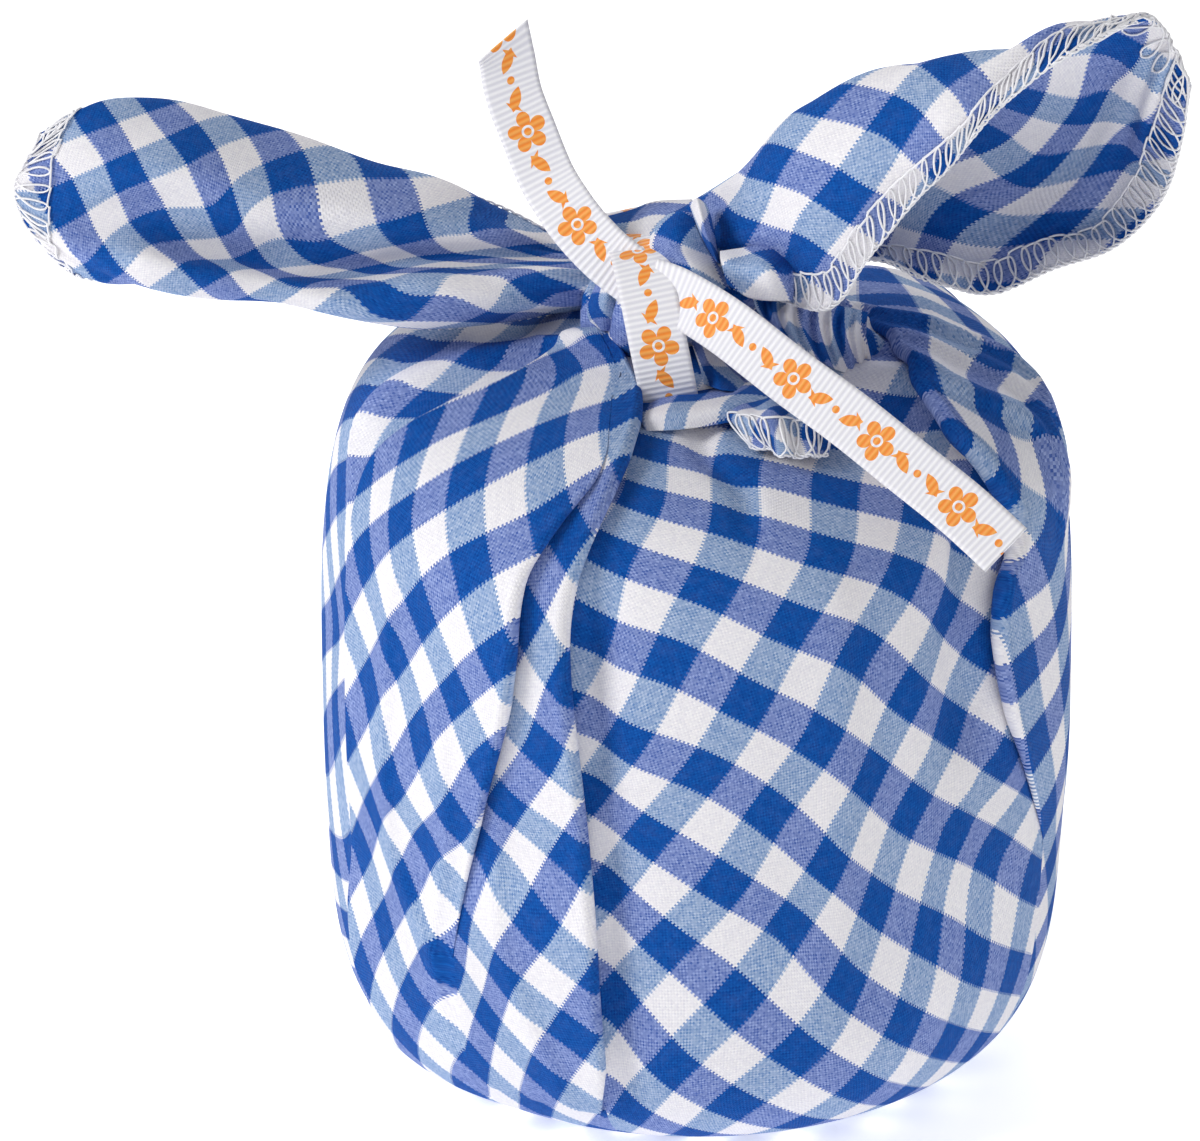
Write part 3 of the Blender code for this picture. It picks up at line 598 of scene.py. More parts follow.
def check_map(surface, places, wanted, hold=BODY_HOLD):
    """Check numbers over a surface given as flat coordinates in mm: an even lattice, bent to pass the anchors."""
    flat = surface.reshape(-1, 2)
    spots = flat[places]
    centre_from, centre_to = spots.mean(axis=0), wanted.mean(axis=0)
    left, _, right = np.linalg.svd((spots - centre_from).T @ (wanted - centre_to))
    even = left @ right / CHECK
    off = spots - centre_from
    even = even + np.linalg.solve(off.T @ off + hold * np.eye(2), off.T @ (wanted - centre_to - off @ even))
    # Far from every anchor the lattice stays even.
    low, high = flat.min(axis=0) - 15, flat.max(axis=0) + 15
    ring = np.array([(x, y) for x in np.linspace(low[0], high[0], 6) for y in np.linspace(low[1], high[1], 6)])
    gap = np.linalg.norm(ring[:, None] - spots[None], axis=2).min(axis=1)
    ring = ring[gap > EVEN_BEYOND]
    bend = np.concatenate((wanted - centre_to - off @ even, np.zeros((len(ring) + 3, 2))))
    knots = np.concatenate((spots, ring)) / 10
    gap = np.linalg.norm(knots[:, None] - knots[None], axis=2)
    stiff = np.diag(np.concatenate((np.full(len(spots), 0.02), np.full(len(ring), 4.0))))
    plane = np.column_stack((np.ones(len(knots)), knots))
    whole = np.block([[gap ** 2 * np.log(gap + 1e-9) + stiff, plane], [plane.T, np.zeros((3, 3))]])
    weights = np.linalg.solve(whole, bend)
    result = (flat - centre_from) @ even + centre_to
    result += np.column_stack((np.ones(len(flat)), flat / 10)) @ weights[-3:]
    for knot, weight in zip(knots, weights):
        away = np.sum((flat / 10 - knot) ** 2, axis=1)
        result += (0.5 * away * np.log(away + 1e-12))[:, None] * weight
    return result.reshape(surface.shape)


def grid_mesh(name, points, checks, finish, closed=False, flip=False):
    """A mesh of quads over a grid of points in mm, with check numbers as its UV map."""
    rows, columns = points.shape[:2]
    mesh = bpy.data.meshes.new(name)
    corners = np.arange(rows * columns).reshape(rows, columns)
    if closed:
        right = np.roll(corners, -1, axis=1)
    else:
        right = corners[:, 1:]
        corners = corners[:, :-1]
    quads = np.stack((corners[:-1], right[:-1], right[1:], corners[1:]), axis=-1).reshape(-1, 4)
    if flip:
        quads = quads[:, ::-1]
    mesh.from_pydata((points.reshape(-1, 3) * MM).tolist(), [], quads.tolist())
    layer = mesh.uv_layers.new(name="checks")
    layer.data.foreach_set("uv", checks.reshape(-1, 2)[quads.ravel()].astype(np.float32).ravel())
    mesh.materials.append(finish)
    mesh.shade_smooth()
    piece = bpy.data.objects.new(name, mesh)
    bpy.context.collection.objects.link(piece)
    return piece


def roll_section(height, tuck, steps):
    """A rolled edge's section: how far out past the edge and how high, from its top round to its tucked end."""
    turn = np.linspace(math.pi / 2, -math.pi / 2, steps)[None]
    half = height[:, None] / 2
    out = half * 0.9 * np.cos(turn) - half * 0.9
    up = half + half * np.sin(turn)
    under = np.linspace(0, 1, 4)[None, 1:] * tuck * height[:, None]
    out = np.concatenate((out, out[:, -1:] - under), axis=1)
    up = np.concatenate((up, np.repeat(up[:, -1:], 3, axis=1)), axis=1)
    return out, up


def unrolled(angle, length, facing):
    """The drum's surface laid flat in mm round the angle that it faces: its side, and its top beyond the shoulder."""
    turn = turned(angle, facing)
    radius = np.interp(length, FINE_LENGTHS, FINE_PROFILE[:, 0])
    top = ramp(length, SHOULDER - 12, SHOULDER + 26)
    across = turn * 64 * (1 - top) + np.sin(turn) * np.minimum(radius, 64) * top
    along = length * (1 - top) + (SHOULDER + 62 - radius * np.cos(turn)) * top
    return np.stack((across, -along), axis=-1)


def wrapped_body(finish):
    """The whole wrapped drum as one sheet: panels and wraps, each fold's edge rolled over what lies below it."""
    rows = np.concatenate((np.linspace(BASE_EDGE, BASE_EDGE + FOOT, FOOT_ROWS, endpoint=False),
                           np.linspace(BASE_EDGE + FOOT, TOP_END, BODY_ROWS)))
    length = rows[:, None]
    radius = np.maximum(np.interp(rows, FINE_LENGTHS, FINE_PROFILE[:, 0]), 3.0)[:, None]
    lines = (soft_line([(angle, BASE_EDGE + up, high) for angle, up, high in BACK_LEFT_EDGE]),
             line_down(LEFT_OUTER_FOLD, 0.5), line_down(LEFT_INNER_FOLD, 3.0), line_down(LEFT_WRAP_EDGE, 0),
             line_down(RIGHT_WRAP_EDGE, 0),
             soft_line([(angle, BASE_EDGE + up, high) for angle, up, high in BACK_RIGHT_EDGE]))
    sides = (1, 1, -1, -1, 1, -1)
    edges = [np.interp(rows, line[0], line[1]) for line in lines]
    highs = [np.interp(rows, line[0], line[2], left=line[2][0] * (number in (0, 5)), right=line[2][-1])
             for number, line in enumerate(lines)]
    edges[2] = np.minimum(edges[2], edges[3] - 3.0 / radius[:, 0])
    edges[1] = np.clip(edges[1], edges[0] + 3.0 / radius[:, 0], edges[2] - 3.0 / radius[:, 0])

    def layers(angle, place, leave=None):
        high = np.zeros(angle.shape)
        for number, (edge, top, side) in enumerate(zip(edges, highs, sides)):
            covers = number < place if side == 1 else number >= place
            if covers and number != leave:
                away = np.maximum((angle - edge[:, None]) * radius * side, 0)
                high += top[:, None] * np.clip(1 - away / ROLL_RUN_OUT, 0, 1) ** 1.5
        return high

    def stretch(start, end, count):
        return start[:, None] + (end - start)[:, None] * np.linspace(0, 1, count)[None]

    zones = (4, 5, 0, 1, 2, 3, 4)
    start = np.full(len(rows), -math.pi)
    angles, heights, zone, plain = [], [], [], []
    for number, count in enumerate(PANEL_COLUMNS):
        if number == len(edges):
            angle = stretch(start, np.full(len(rows), math.pi), count)
            angles.append(angle)
            heights.append(layers(angle, number))
            zone += [zones[number]] * angle.shape[1]
            plain += [True] * angle.shape[1]
            break
        edge, top, side = edges[number], highs[number], sides[number]
        out, up = roll_section(top, TUCK, ROLL_STEPS)
        if side == 1:
            out, up = -out[:, ::-1], up[:, ::-1]
        roll = edge[:, None] + out / radius
        angle = stretch(start, roll[:, 0], count)[:, :-1]
        angles += [angle, roll]
        below = layers(np.repeat(edge[:, None], roll.shape[1], axis=1), number + (side == -1), number)
        heights += [layers(angle, number), below + up * 0.93 + 0.07 * top[:, None]]
        zone += [zones[number]] * angle.shape[1]
        zone += [zones[number + (side == 1)]] * roll.shape[1]
        showing = np.arange(roll.shape[1]) < ROLL_SHOWS
        plain += [True] * angle.shape[1] + list(showing[::-side])
        start = roll[:, -1] + 0.3 / radius[:, 0]
    angle = np.concatenate(angles, axis=1)
    high = np.concatenate(heights, axis=1)
    zone = np.array(zone)
    free = np.clip((length - BASE_EDGE) / 10, 0, 1) * np.clip((TOP_END - length) / 16, 0.25, 1)
    high += relief_along(PLEATS, angle, length, radius) + back_relief(angle, length, radius)
    high = (high + relief_along(HOLLOWS, angle, length, radius) * (zone == 2)) * free
    whole_length = np.broadcast_to(length, angle.shape)
    points = body_points(angle, whole_length, high)

    seen = seen_at(points)
    front = (grid_normals(points) @ VIEW_BACK < -0.03) & np.array(plain)
    checks = np.zeros(seen.shape)
    for number, table in ((5, LEFT_OUTER_CHECKS), (1, STRIP_CHECKS), (0, LEFT_CHECKS), (2, FRONT_CHECKS),
                          (3, RIGHT_CHECKS)):
        columns = np.flatnonzero(zone == number)
        flat = unrolled(angle[:, columns], whole_length[:, columns], ZONE_FACINGS[number])
        anchors = lattice(table)
        places = nearest_places(seen[:, columns], anchors, front[:, columns])
        wanted = anchors[:, 2:]
        if number == 0:
            # Above and below the inner fold the left wrap runs on into the strip.
            joined = np.flatnonzero(highs[2] < 0.1)[::5]
            places += [int(row * len(columns) + len(columns) - 1) for row in joined]
            above = (rows[joined] > BASE_EDGE + FOLD_MIDDLE)[:, None] * np.array(ABOVE_THE_FOLD)
            wanted = np.concatenate((wanted, checks[joined, columns[-1] + 1] + above))
        checks[:, columns] = check_map(flat, places, wanted)
    columns = np.flatnonzero(zone == 4)
    checks[:, columns] = unrolled(angle[:, columns], whole_length[:, columns], ZONE_FACINGS[4]) @ BACK_TURN / CHECK
    return body_sheet(points, checks, zone, finish)


def body_sheet(points, checks, zone, finish):
    """The body's mesh with its flat base, each zone's checks kept apart at the fold's hidden end."""
    columns = points.shape[1]
    rings = np.linspace(0.04, 1, 12)[:-1]
    base = points[:1] * np.array((1, 1, 0)) * rings[:, None, None]
    whole = np.concatenate((base, points), axis=0)
    under = np.stack((base[..., 0], base[..., 1]), axis=-1) / CHECK
    whole_checks = np.concatenate((under, checks), axis=0)
    piece = grid_mesh("wrapped_body", whole, whole_checks, finish, flip=False)
    layer = piece.data.uv_layers["checks"].data
    uv = np.zeros(len(layer) * 2, dtype=np.float32)
    layer.foreach_get("uv", uv)
    uv = uv.reshape(-1, columns - 1, 4, 2)
    for column in np.flatnonzero(np.diff(zone)):
        uv[:, column, 1] = uv[:, column, 0]
        uv[:, column, 2] = uv[:, column, 3]
    row = len(rings) - 1
    uv[row, :, 0] = uv[row, :, 3]
    uv[row, :, 1] = uv[row, :, 2]
    layer.foreach_set("uv", uv.ravel())
    shape = bmesh.new()
    shape.from_mesh(piece.data)
    bmesh.ops.remove_doubles(shape, verts=shape.verts, dist=0.00001)
    bmesh.ops.holes_fill(shape, edges=[edge for edge in shape.edges if edge.is_boundary], sides=0)
    bmesh.ops.recalc_face_normals(shape, faces=shape.faces)
    shape.to_mesh(piece.data)
    shape.free()
    return piece


def placed(table):
    """A table of pixels and depths as points."""
    return np.array([[at_depth(*point) for point in row] for row in table])


def fine_grid(table, rows, columns):
    """A smooth grid of points through a coarse one."""
    along = np.stack([smooth_curve(table[:, column], rows) for column in range(table.shape[1])], axis=1)
    return np.stack([smooth_curve(row, columns) for row in along])


def grid_normals(points):
    """The unit normals of a grid of points."""
    normals = np.cross(np.gradient(points, axis=0), np.gradient(points, axis=1))
    return normals / np.maximum(np.linalg.norm(normals, axis=2), 1e-9)[..., None]


def laid_flat(points, origin):
    """A grid's flat coordinates in mm: the way along it, and the way across it from an origin column."""
    along = np.linalg.norm(np.diff(points, axis=0), axis=2).mean(axis=1)
    across = np.linalg.norm(np.diff(points, axis=1), axis=2)
    way_along = np.concatenate(((0,), np.cumsum(along)))
    way_across = np.concatenate((np.zeros((len(points), 1)), np.cumsum(across, axis=1)), axis=1)
    way_across -= way_across[:, origin:origin + 1]
    return np.stack((np.broadcast_to(way_along[:, None], way_across.shape), way_across), axis=-1)


def thicken(piece, thickness):
    """A sheet's thickness, half to each side."""
    wall = piece.modifiers.new("thickness", "SOLIDIFY")
    wall.thickness = thickness * MM
    wall.offset = 0
    return piece


def ear(name, table, anchor_sets, origin, finish):
    """One ear of the knot: a corner of the cloth, with its own creases and checks."""
    rows, columns = EAR_ROWS, EAR_COLUMNS
    points = fine_grid(placed(table), rows, columns)
    along = np.linspace(0, 1, rows)[:, None]
    across = np.linspace(0, 1, columns)[None]
    ripple = 0.45 * np.sin(31 * along + 5 * np.sin(9 * across)) * np.sin(7 * across + 3 * along)
    ripple = ripple + 0.3 * np.sin(70 * across + 6 * along) * np.exp(-along / 0.22)
    points = points + grid_normals(points) * ripple[..., None]
    flat = laid_flat(points, int(origin * (columns - 1) / (len(table[0]) - 1)))
    seen = seen_at(points)
    places, wanted = [], []
    for anchors, start, end in anchor_sets:
        anchors = seen_checks(anchors)
        place = across * (len(table[0]) - 1)
        places += nearest_places(seen, anchors, (place >= start) & (place <= end))
        wanted.append(anchors[:, 2:])
    checks = check_map(flat, places, np.concatenate(wanted), FREE_CLOTH_HOLD)
    return thicken(grid_mesh(name, points, checks, finish), CLOTH_THICKNESS), points


def stitch_field(lines, depth):
    """Points and normals along an edge and in from it, from grid lines that start at the edge and run inwards."""
    normals = grid_normals(lines)
    depths = np.linspace(0, depth, 12)
    spots = np.zeros((len(lines), len(depths), 3))
    faces = np.zeros(spots.shape)
    for number, (line, normal) in enumerate(zip(lines, normals)):
        way = np.concatenate(((0,), np.cumsum(np.linalg.norm(np.diff(line, axis=0), axis=1))))
        for axis in range(3):
            spots[number, :, axis] = np.interp(depths, way, line[:, axis])
            faces[number, :, axis] = np.interp(depths, way, normal[:, axis])
    ways = np.concatenate(((0,), np.cumsum(np.linalg.norm(np.diff(spots[:, 0], axis=0), axis=1))))

    def at(way, inset, high):
        row = np.interp(way, ways, np.arange(len(ways)))
        column = np.clip(np.array(inset) / depth, 0, 1) * (len(depths) - 1)
        r, c = np.minimum(row.astype(int), len(ways) - 2), np.minimum(column.astype(int), len(depths) - 2)
        fr, fc = (row - r)[..., None], (column - c)[..., None]
        both = [grid[r, c] * (1 - fr) * (1 - fc) + grid[r + 1, c] * fr * (1 - fc)
                + grid[r, c + 1] * (1 - fr) * fc + grid[r + 1, c + 1] * fr * fc for grid in (spots, faces)]
        outward = spots[r, 0] - spots[r, 3]
        outward /= np.linalg.norm(outward, axis=-1)[..., None]
        past = np.maximum(-np.array(inset), 0)[..., None]
        return both[0] + both[1] * np.array(high)[..., None] + outward * past

    return at, ways[-1]


def overlock(lines, random, pitch):
    """The threads of an overlocked edge: loops on both faces, a purl along the edge and the needle's thread."""
    at, length = stitch_field(lines, OVERLOCK_WIDTH + 1)
    count = int(length / pitch)
    pitch = length / count
    threads = []
    high = CLOTH_THICKNESS / 2 + THREAD / 2
    turn = np.linspace(0, 1, 17)
    for stitch in range(count):
        reach = OVERLOCK_WIDTH + random.uniform(-0.5, 0.4)
        lean = random.uniform(-0.12, 0.12)
        start = stitch * pitch
        for side in (1, -1):
            way = start + pitch * (turn + lean * np.sin(math.pi * turn) - 0.48 * np.sin(2 * math.pi * turn))
            inset = reach * (0.5 + 0.5 * np.cos(2 * math.pi * turn)) - 0.15 * np.sin(math.pi * turn)
            lift = high * (1 - 0.6 * np.sin(math.pi * turn) ** 8) + 0.12 * np.sin(2 * math.pi * turn) ** 2
            threads.append(at(np.clip(way, 0, length), inset, side * lift))
        way = np.clip(start + pitch * np.linspace(-0.08, 0.98, 7), 0, length)
        threads.append(at(way, np.full(7, reach + 0.1), high + 0.2 * np.sin(np.linspace(0, math.pi, 7))))
    steps = count * 8 + 1
    way = np.linspace(0, length, steps)
    for phase in (0, math.pi):
        twist = way / pitch * 2 * math.pi + phase
        threads.append(at(way, -0.1 - 0.22 * np.sin(twist), 0.34 * np.cos(twist)))
    return threads


def thread_piece(name, threads, finish):
    """Threads as one piece, each a thin round strand along its points."""
    curve = bpy.data.curves.new(name, "CURVE")
    curve.dimensions = "3D"
    curve.bevel_depth = THREAD / 2 * MM
    curve.bevel_resolution = 0
    curve.use_fill_caps = True
    for points in threads:
        spline = curve.splines.new("POLY")
        spline.points.add(len(points) - 1)
        spline.points.foreach_set("co", np.column_stack((points * MM, np.ones(len(points)))).ravel())
    drawn = bpy.data.objects.new(name, curve)
    bpy.context.collection.objects.link(drawn)
    bpy.ops.object.select_all(action="DESELECT")
    drawn.select_set(True)
    bpy.context.view_layer.objects.active = drawn
    bpy.ops.object.convert(target="MESH")
    piece = bpy.context.object
    piece.data.materials.append(finish)
    piece.data.shade_smooth()
    return piece


def knot_strand(rows, number):
    """A gathered strand of the knot as a grid of points and its checks: a bent bar, fluted by its pleats."""
    count, around = 60, 64
    centres = smooth_curve([at_depth(pixel, depth) for pixel, depth, _, _ in rows], count)
    sizes = smooth_curve([(width, thickness) for _, _, width, thickness in rows], count)
    along = np.gradient(centres, axis=0)
    along /= np.linalg.norm(along, axis=1)[:, None]
    out = np.array((0, -1, 0.3)) - along * (along @ np.array((0, -1, 0.3)))[:, None]
    out /= np.linalg.norm(out, axis=1)[:, None]
    across = np.cross(along, out)
    turn = np.arange(around) / around * 2 * math.pi
    place = np.linspace(0, 1, count)
    ends = np.sqrt(np.clip(np.minimum(place, 1 - place) * 9, 0.02, 1))
    pleats = 1 + 0.07 * np.sin(turn * 5 + number * 2 + 1.5 * np.sin(place[:, None] * 5)) \
        + 0.03 * np.sin(turn * 11 + number)
    sideways = (sizes[:, 0] * ends)[:, None] * np.cos(turn) * pleats
    outwards = (sizes[:, 1] * ends)[:, None] * np.sin(turn) * pleats
    points = centres[:, None] + across[:, None] * sideways[..., None] + out[:, None] * outwards[..., None]
    way = np.concatenate(((0,), np.cumsum(np.linalg.norm(np.diff(centres, axis=0), axis=1))))
    girth = turn * float(np.mean(sizes))
    checks = np.stack(np.broadcast_arrays(way[:, None] / CHECK + number * 0.7, girth[None] / CHECK), axis=-1)
    return points, checks @ np.array(((0.8, 0.6), (-0.6, 0.8)))


def knot_fold(table, anchors, pleats, height):
    """One of the knot's outer folds as a closed, softly padded lobe: its front follows the table."""
    rows, columns = 44, 30
    front = fine_grid(placed(table), rows, columns)
    along = np.linspace(0, 1, rows)[:, None]
    across = np.linspace(0, 1, columns)[None]
    ripple = height * np.sin(2 * math.pi * pleats * along + 2 * across) * np.sin(math.pi * across) ** 0.5
    front = front + VIEW_BACK * ripple[..., None]
    anchors = seen_checks(anchors)
    places = nearest_places(seen_at(front), anchors, True)
    checks = check_map(laid_flat(front, 0), places, anchors[:, 2:], FREE_CLOTH_HOLD)
    depth = 0.5 + 4.0 * np.sin(math.pi * across) ** 0.6 * np.sin(math.pi * np.clip(along, 0.02, 0.98)) ** 0.4
    back = front - VIEW_BACK * depth[..., None]
    return np.concatenate((front, back[:, ::-1]), axis=1), np.concatenate((checks, checks[:, ::-1]), axis=1)


def knot(finish):
    """The knot: gathered strands that wind round each other under its outer folds, as one piece."""
    pieces = []
    lobes = [knot_strand(rows, number) for number, rows in enumerate(KNOT_STRANDS)]
    lobes += [knot_fold(table, anchors, *pleats)
              for table, anchors, pleats in zip(KNOT_FOLDS, KNOT_FOLD_CHECKS, KNOT_FOLD_PLEATS)]
    for points, checks in lobes:
        piece = grid_mesh("knot_strand", points, checks, finish, closed=True)
        shape = bmesh.new()
        shape.from_mesh(piece.data)
        bmesh.ops.holes_fill(shape, edges=[edge for edge in shape.edges if edge.is_boundary], sides=0)
        bmesh.ops.recalc_face_normals(shape, faces=shape.faces)
        shape.to_mesh(piece.data)
        shape.free()
        pieces.append(piece)
    bpy.ops.object.select_all(action="DESELECT")
    for piece in pieces:
        piece.select_set(True)
    bpy.context.view_layer.objects.active = pieces[0]
    bpy.ops.object.join()
    whole = bpy.context.object
    whole.name = "knot"
    return whole


def corner_tip(finish):
    """The tucked front corner's crumpled tip, whose last row is its overlocked edge, and its grid of points."""
    rows, columns = 40, 70
    points = fine_grid(placed(CORNER_TIP), rows, columns)
    crumple = TIP_CRUMPLE * np.sin(np.linspace(0, 19, columns)) * np.linspace(0.3, 1, rows)[:, None]
    points += grid_normals(points) * crumple[..., None]
    anchors = seen_checks(CORNER_TIP_CHECKS)
    places = nearest_places(seen_at(points), anchors, True)
    checks = check_map(laid_flat(points, 0), places, anchors[:, 2:], FREE_CLOTH_HOLD)
    return thicken(grid_mesh("corner_tip", points, checks, finish), CLOTH_THICKNESS), points


def ribbon_strip(name, route, lean, finish, start, slant=0.0):
    """A length of ribbon along a route, with the way along it and across it in mm as its UV map."""
    along = np.gradient(route, axis=0)
    along /= np.linalg.norm(along, axis=1)[:, None]
    lean = lean - along * np.sum(lean * along, axis=1)[:, None]
    lean /= np.linalg.norm(lean, axis=1)[:, None]
    across = np.linspace(-0.5, 0.5, 13) * RIBBON_WIDTH
    place = np.linspace(0, 1, len(route))[:, None, None]
    points = route[:, None] + lean[:, None] * across[None, :, None]
    points = points + along[:, None] * (across * slant)[None, :, None] * place ** 6
    way = np.concatenate(((0,), np.cumsum(np.linalg.norm(np.diff(route, axis=0), axis=1))))
    marks = np.stack(np.broadcast_arrays(way[:, None] + start, across[None]), axis=-1)
    piece = thicken(grid_mesh(name, points, marks, finish), RIBBON_THICKNESS)
    return piece, float(way[-1])


def tie_ribbon(finish):
    """The ribbon's three lengths: the band round the knot and the two free ends."""
    band_steps, end_steps = 160, 200
    leans = np.array(BAND_LEAN)[None].repeat(band_steps, axis=0)
    lengths = [ribbon_strip("ribbon_band", smooth_curve(BAND, band_steps), leans, finish, BAND_PRINT_START)]
    for name, table, leans, start, slant in (
            ("ribbon_end_up", TAIL_UP, TAIL_UP_ACROSS, TAIL_UP_PRINT_START, TAIL_UP_SLANT),
            ("ribbon_end_down", TAIL_DOWN, TAIL_DOWN_ACROSS, TAIL_DOWN_PRINT_START, 0.0)):
        route = smooth_curve([at_depth(*point) for point in table], end_steps)
        lengths.append(ribbon_strip(name, route, smooth_curve(leans, end_steps), finish, start, slant))
    return lengths


def srgb(code):
    """A linear colour from an sRGB hex value."""
    values = [int(code[place:place + 2], 16) / 255 for place in (1, 3, 5)]
    return tuple(v / 12.92 if v <= 0.04045 else ((v + 0.055) / 1.055) ** 2.4 for v in values) + (1.0,)


def add_node(tree, kind, links=None, **settings):
    """A shader node with its settings, and its inputs linked or set by name or number."""
    node = tree.nodes.new(kind)
    for name, value in settings.items():
        setattr(node, name, value)
    for name, value in (links or {}).items():
        socket = node.inputs[name]
        if isinstance(value, bpy.types.NodeSocket):
            tree.links.new(value, socket)
        else:
            socket.default_value = value
    return node


def new_finish(name, roughness, **sockets):
    """A material with its Principled shader, and constants set on the shader's own sockets."""
    finish = bpy.data.materials.new(name)
    finish.use_nodes = True
    shader = finish.node_tree.nodes["Principled BSDF"]
    shader.inputs["Roughness"].default_value = roughness
    for socket, value in sockets.items():
        shader.inputs[socket.replace("_", " ")].default_value = value
    return finish, finish.node_tree, shader


def gingham_cotton():
    """Yarn-dyed plain-weave cotton, brushed: crisp woven checks with a soft, matte, faintly hairy face."""
    finish, tree, shader = new_finish("yarn_dyed_gingham_cotton", 0.9, Sheen_Weight=0.04, Sheen_Roughness=0.5,
                                      Specular_IOR_Level=0.08)
    place = add_node(tree, "ShaderNodeUVMap", uv_map="checks").outputs[0]
    parts = add_node(tree, "ShaderNodeSeparateXYZ", {0: place})
    counts, numbers, stripes, rounds = [], [], [], []
    for axis in (0, 1):
        threads = add_node(tree, "ShaderNodeMath", {0: parts.outputs[axis], 1: THREADS_A_CHECK}, operation="MULTIPLY")
        counts.append(threads)
        numbers.append(add_node(tree, "ShaderNodeMath", {0: threads.outputs[0]}, operation="FLOOR").outputs[0])
    for axis in (0, 1):
        # The coloured stripes end in teeth, where the crossing threads pair over and under the last one.
        threads = counts[axis]
        tooth = add_node(tree, "ShaderNodeMath", {0: numbers[1 - axis], 1: 2.0}, operation="FLOORED_MODULO").outputs[0]
        toothed = add_node(tree, "ShaderNodeMath", {0: numbers[axis], 1: tooth}, operation="ADD").outputs[0]
        middle = add_node(tree, "ShaderNodeMath", {0: toothed, 1: THREADS_A_CHECK / 2}, operation="ADD").outputs[0]
        phase = add_node(tree, "ShaderNodeMath", {0: middle, 1: 2 * THREADS_A_CHECK}, operation="FLOORED_MODULO")
        stripe = add_node(tree, "ShaderNodeMath", {0: phase.outputs[0], 1: THREADS_A_CHECK}, operation="LESS_THAN")
        # The round back of each thread.
        inside = add_node(tree, "ShaderNodeMath", {0: threads.outputs[0]}, operation="FRACT").outputs[0]
        swing = add_node(tree, "ShaderNodeMath", {0: inside, 1: math.pi}, operation="MULTIPLY").outputs[0]
        back = add_node(tree, "ShaderNodeMath", {0: swing}, operation="SINE").outputs[0]
        stripes.append(stripe.outputs[0])
        rounds.append(back)
    both = add_node(tree, "ShaderNodeMath", {0: numbers[0], 1: numbers[1]}, operation="ADD").outputs[0]
    on_top = add_node(tree, "ShaderNodeMath", {0: both, 1: 2.0}, operation="FLOORED_MODULO").outputs[0]

    # Uneven yarn: every crossing has its own strength of dye, and longer slubs run along the threads.
    crossing = add_node(tree, "ShaderNodeCombineXYZ", {0: numbers[0], 1: numbers[1]}).outputs[0]
    speck = add_node(tree, "ShaderNodeTexWhiteNoise", {0: crossing}, noise_dimensions="2D").outputs[0]
    slub = add_node(tree, "ShaderNodeTexNoise", {0: place, "Scale": 3.2, "Detail": 5.0, "Roughness": 0.62}).outputs[0]
    shaken = add_node(tree, "ShaderNodeMath", {0: speck, 1: 0.6, 2: 0.0}, operation="MULTIPLY_ADD").outputs[0]
    # A thread lying below takes its cell's under tone: in the plain cells this is painted shade between the threads.
    showing = add_node(tree, "ShaderNodeMath", {0: on_top, 1: 0.4, 2: shaken}, operation="MULTIPLY_ADD").outputs[0]

    colours = []
    for under, over in CELL_COLOURS:
        cell = add_node(tree, "ShaderNodeMix", {0: showing, 6: srgb(under), 7: srgb(over)}, data_type="RGBA")
        colours.append(cell.outputs[2])
    white, purple, light, blue = colours
    plain = add_node(tree, "ShaderNodeMix", {0: stripes[1], 6: white, 7: purple}, data_type="RGBA").outputs[2]
    dyed = add_node(tree, "ShaderNodeMix", {0: stripes[1], 6: light, 7: blue}, data_type="RGBA").outputs[2]
    woven = add_node(tree, "ShaderNodeMix", {0: stripes[0], 6: plain, 7: dyed}, data_type="RGBA").outputs[2]
    # The brushed nap: a pale haze that lies unevenly over the dye.
    haze = add_node(tree, "ShaderNodeMapRange", {0: slub, 1: 0.45, 2: 0.8, 3: 0.0, 4: 0.035}).outputs[0]
    napped = add_node(tree, "ShaderNodeMix", {0: haze, 6: woven, 7: srgb("#c9cde6")}, data_type="RGBA").outputs[2]
    tree.links.new(napped, shader.inputs["Base Color"])

    # The relief of the weave, one thread over the next, with the nap's small unevenness.
    across = add_node(tree, "ShaderNodeMath", {0: rounds[0], 1: on_top}, operation="MULTIPLY").outputs[0]
    below = add_node(tree, "ShaderNodeMath", {0: 1.0, 1: on_top}, operation="SUBTRACT").outputs[0]
    relief = add_node(tree, "ShaderNodeMath", {0: rounds[1], 1: below, 2: across}, operation="MULTIPLY_ADD").outputs[0]
    height = add_node(tree, "ShaderNodeMath", {0: slub, 1: 1.5, 2: relief}, operation="MULTIPLY_ADD").outputs[0]
    bump = add_node(tree, "ShaderNodeBump", {"Strength": 0.5, "Distance": 0.00012, "Height": height}).outputs[0]
    tree.links.new(bump, shader.inputs["Normal"])
    return finish


def overlock_thread():
    """Spun polyester sewing thread: matt white, its twist a faint change of tone along the strand."""
    finish, tree, shader = new_finish("spun_polyester_thread", 0.6, Sheen_Weight=0.3)
    place = add_node(tree, "ShaderNodeTexCoord").outputs["Object"]
    scale = 1 / (THREAD_TWIST * MM)
    twist = add_node(tree, "ShaderNodeTexNoise", {0: place, "Scale": scale, "Detail": 2.0}).outputs[0]
    tone = add_node(tree, "ShaderNodeMix", {0: twist, 6: srgb("#e4e3ec"), 7: srgb("#ffffff")}, data_type="RGBA")
    tree.links.new(tone.outputs[2], shader.inputs["Base Color"])
    return finish


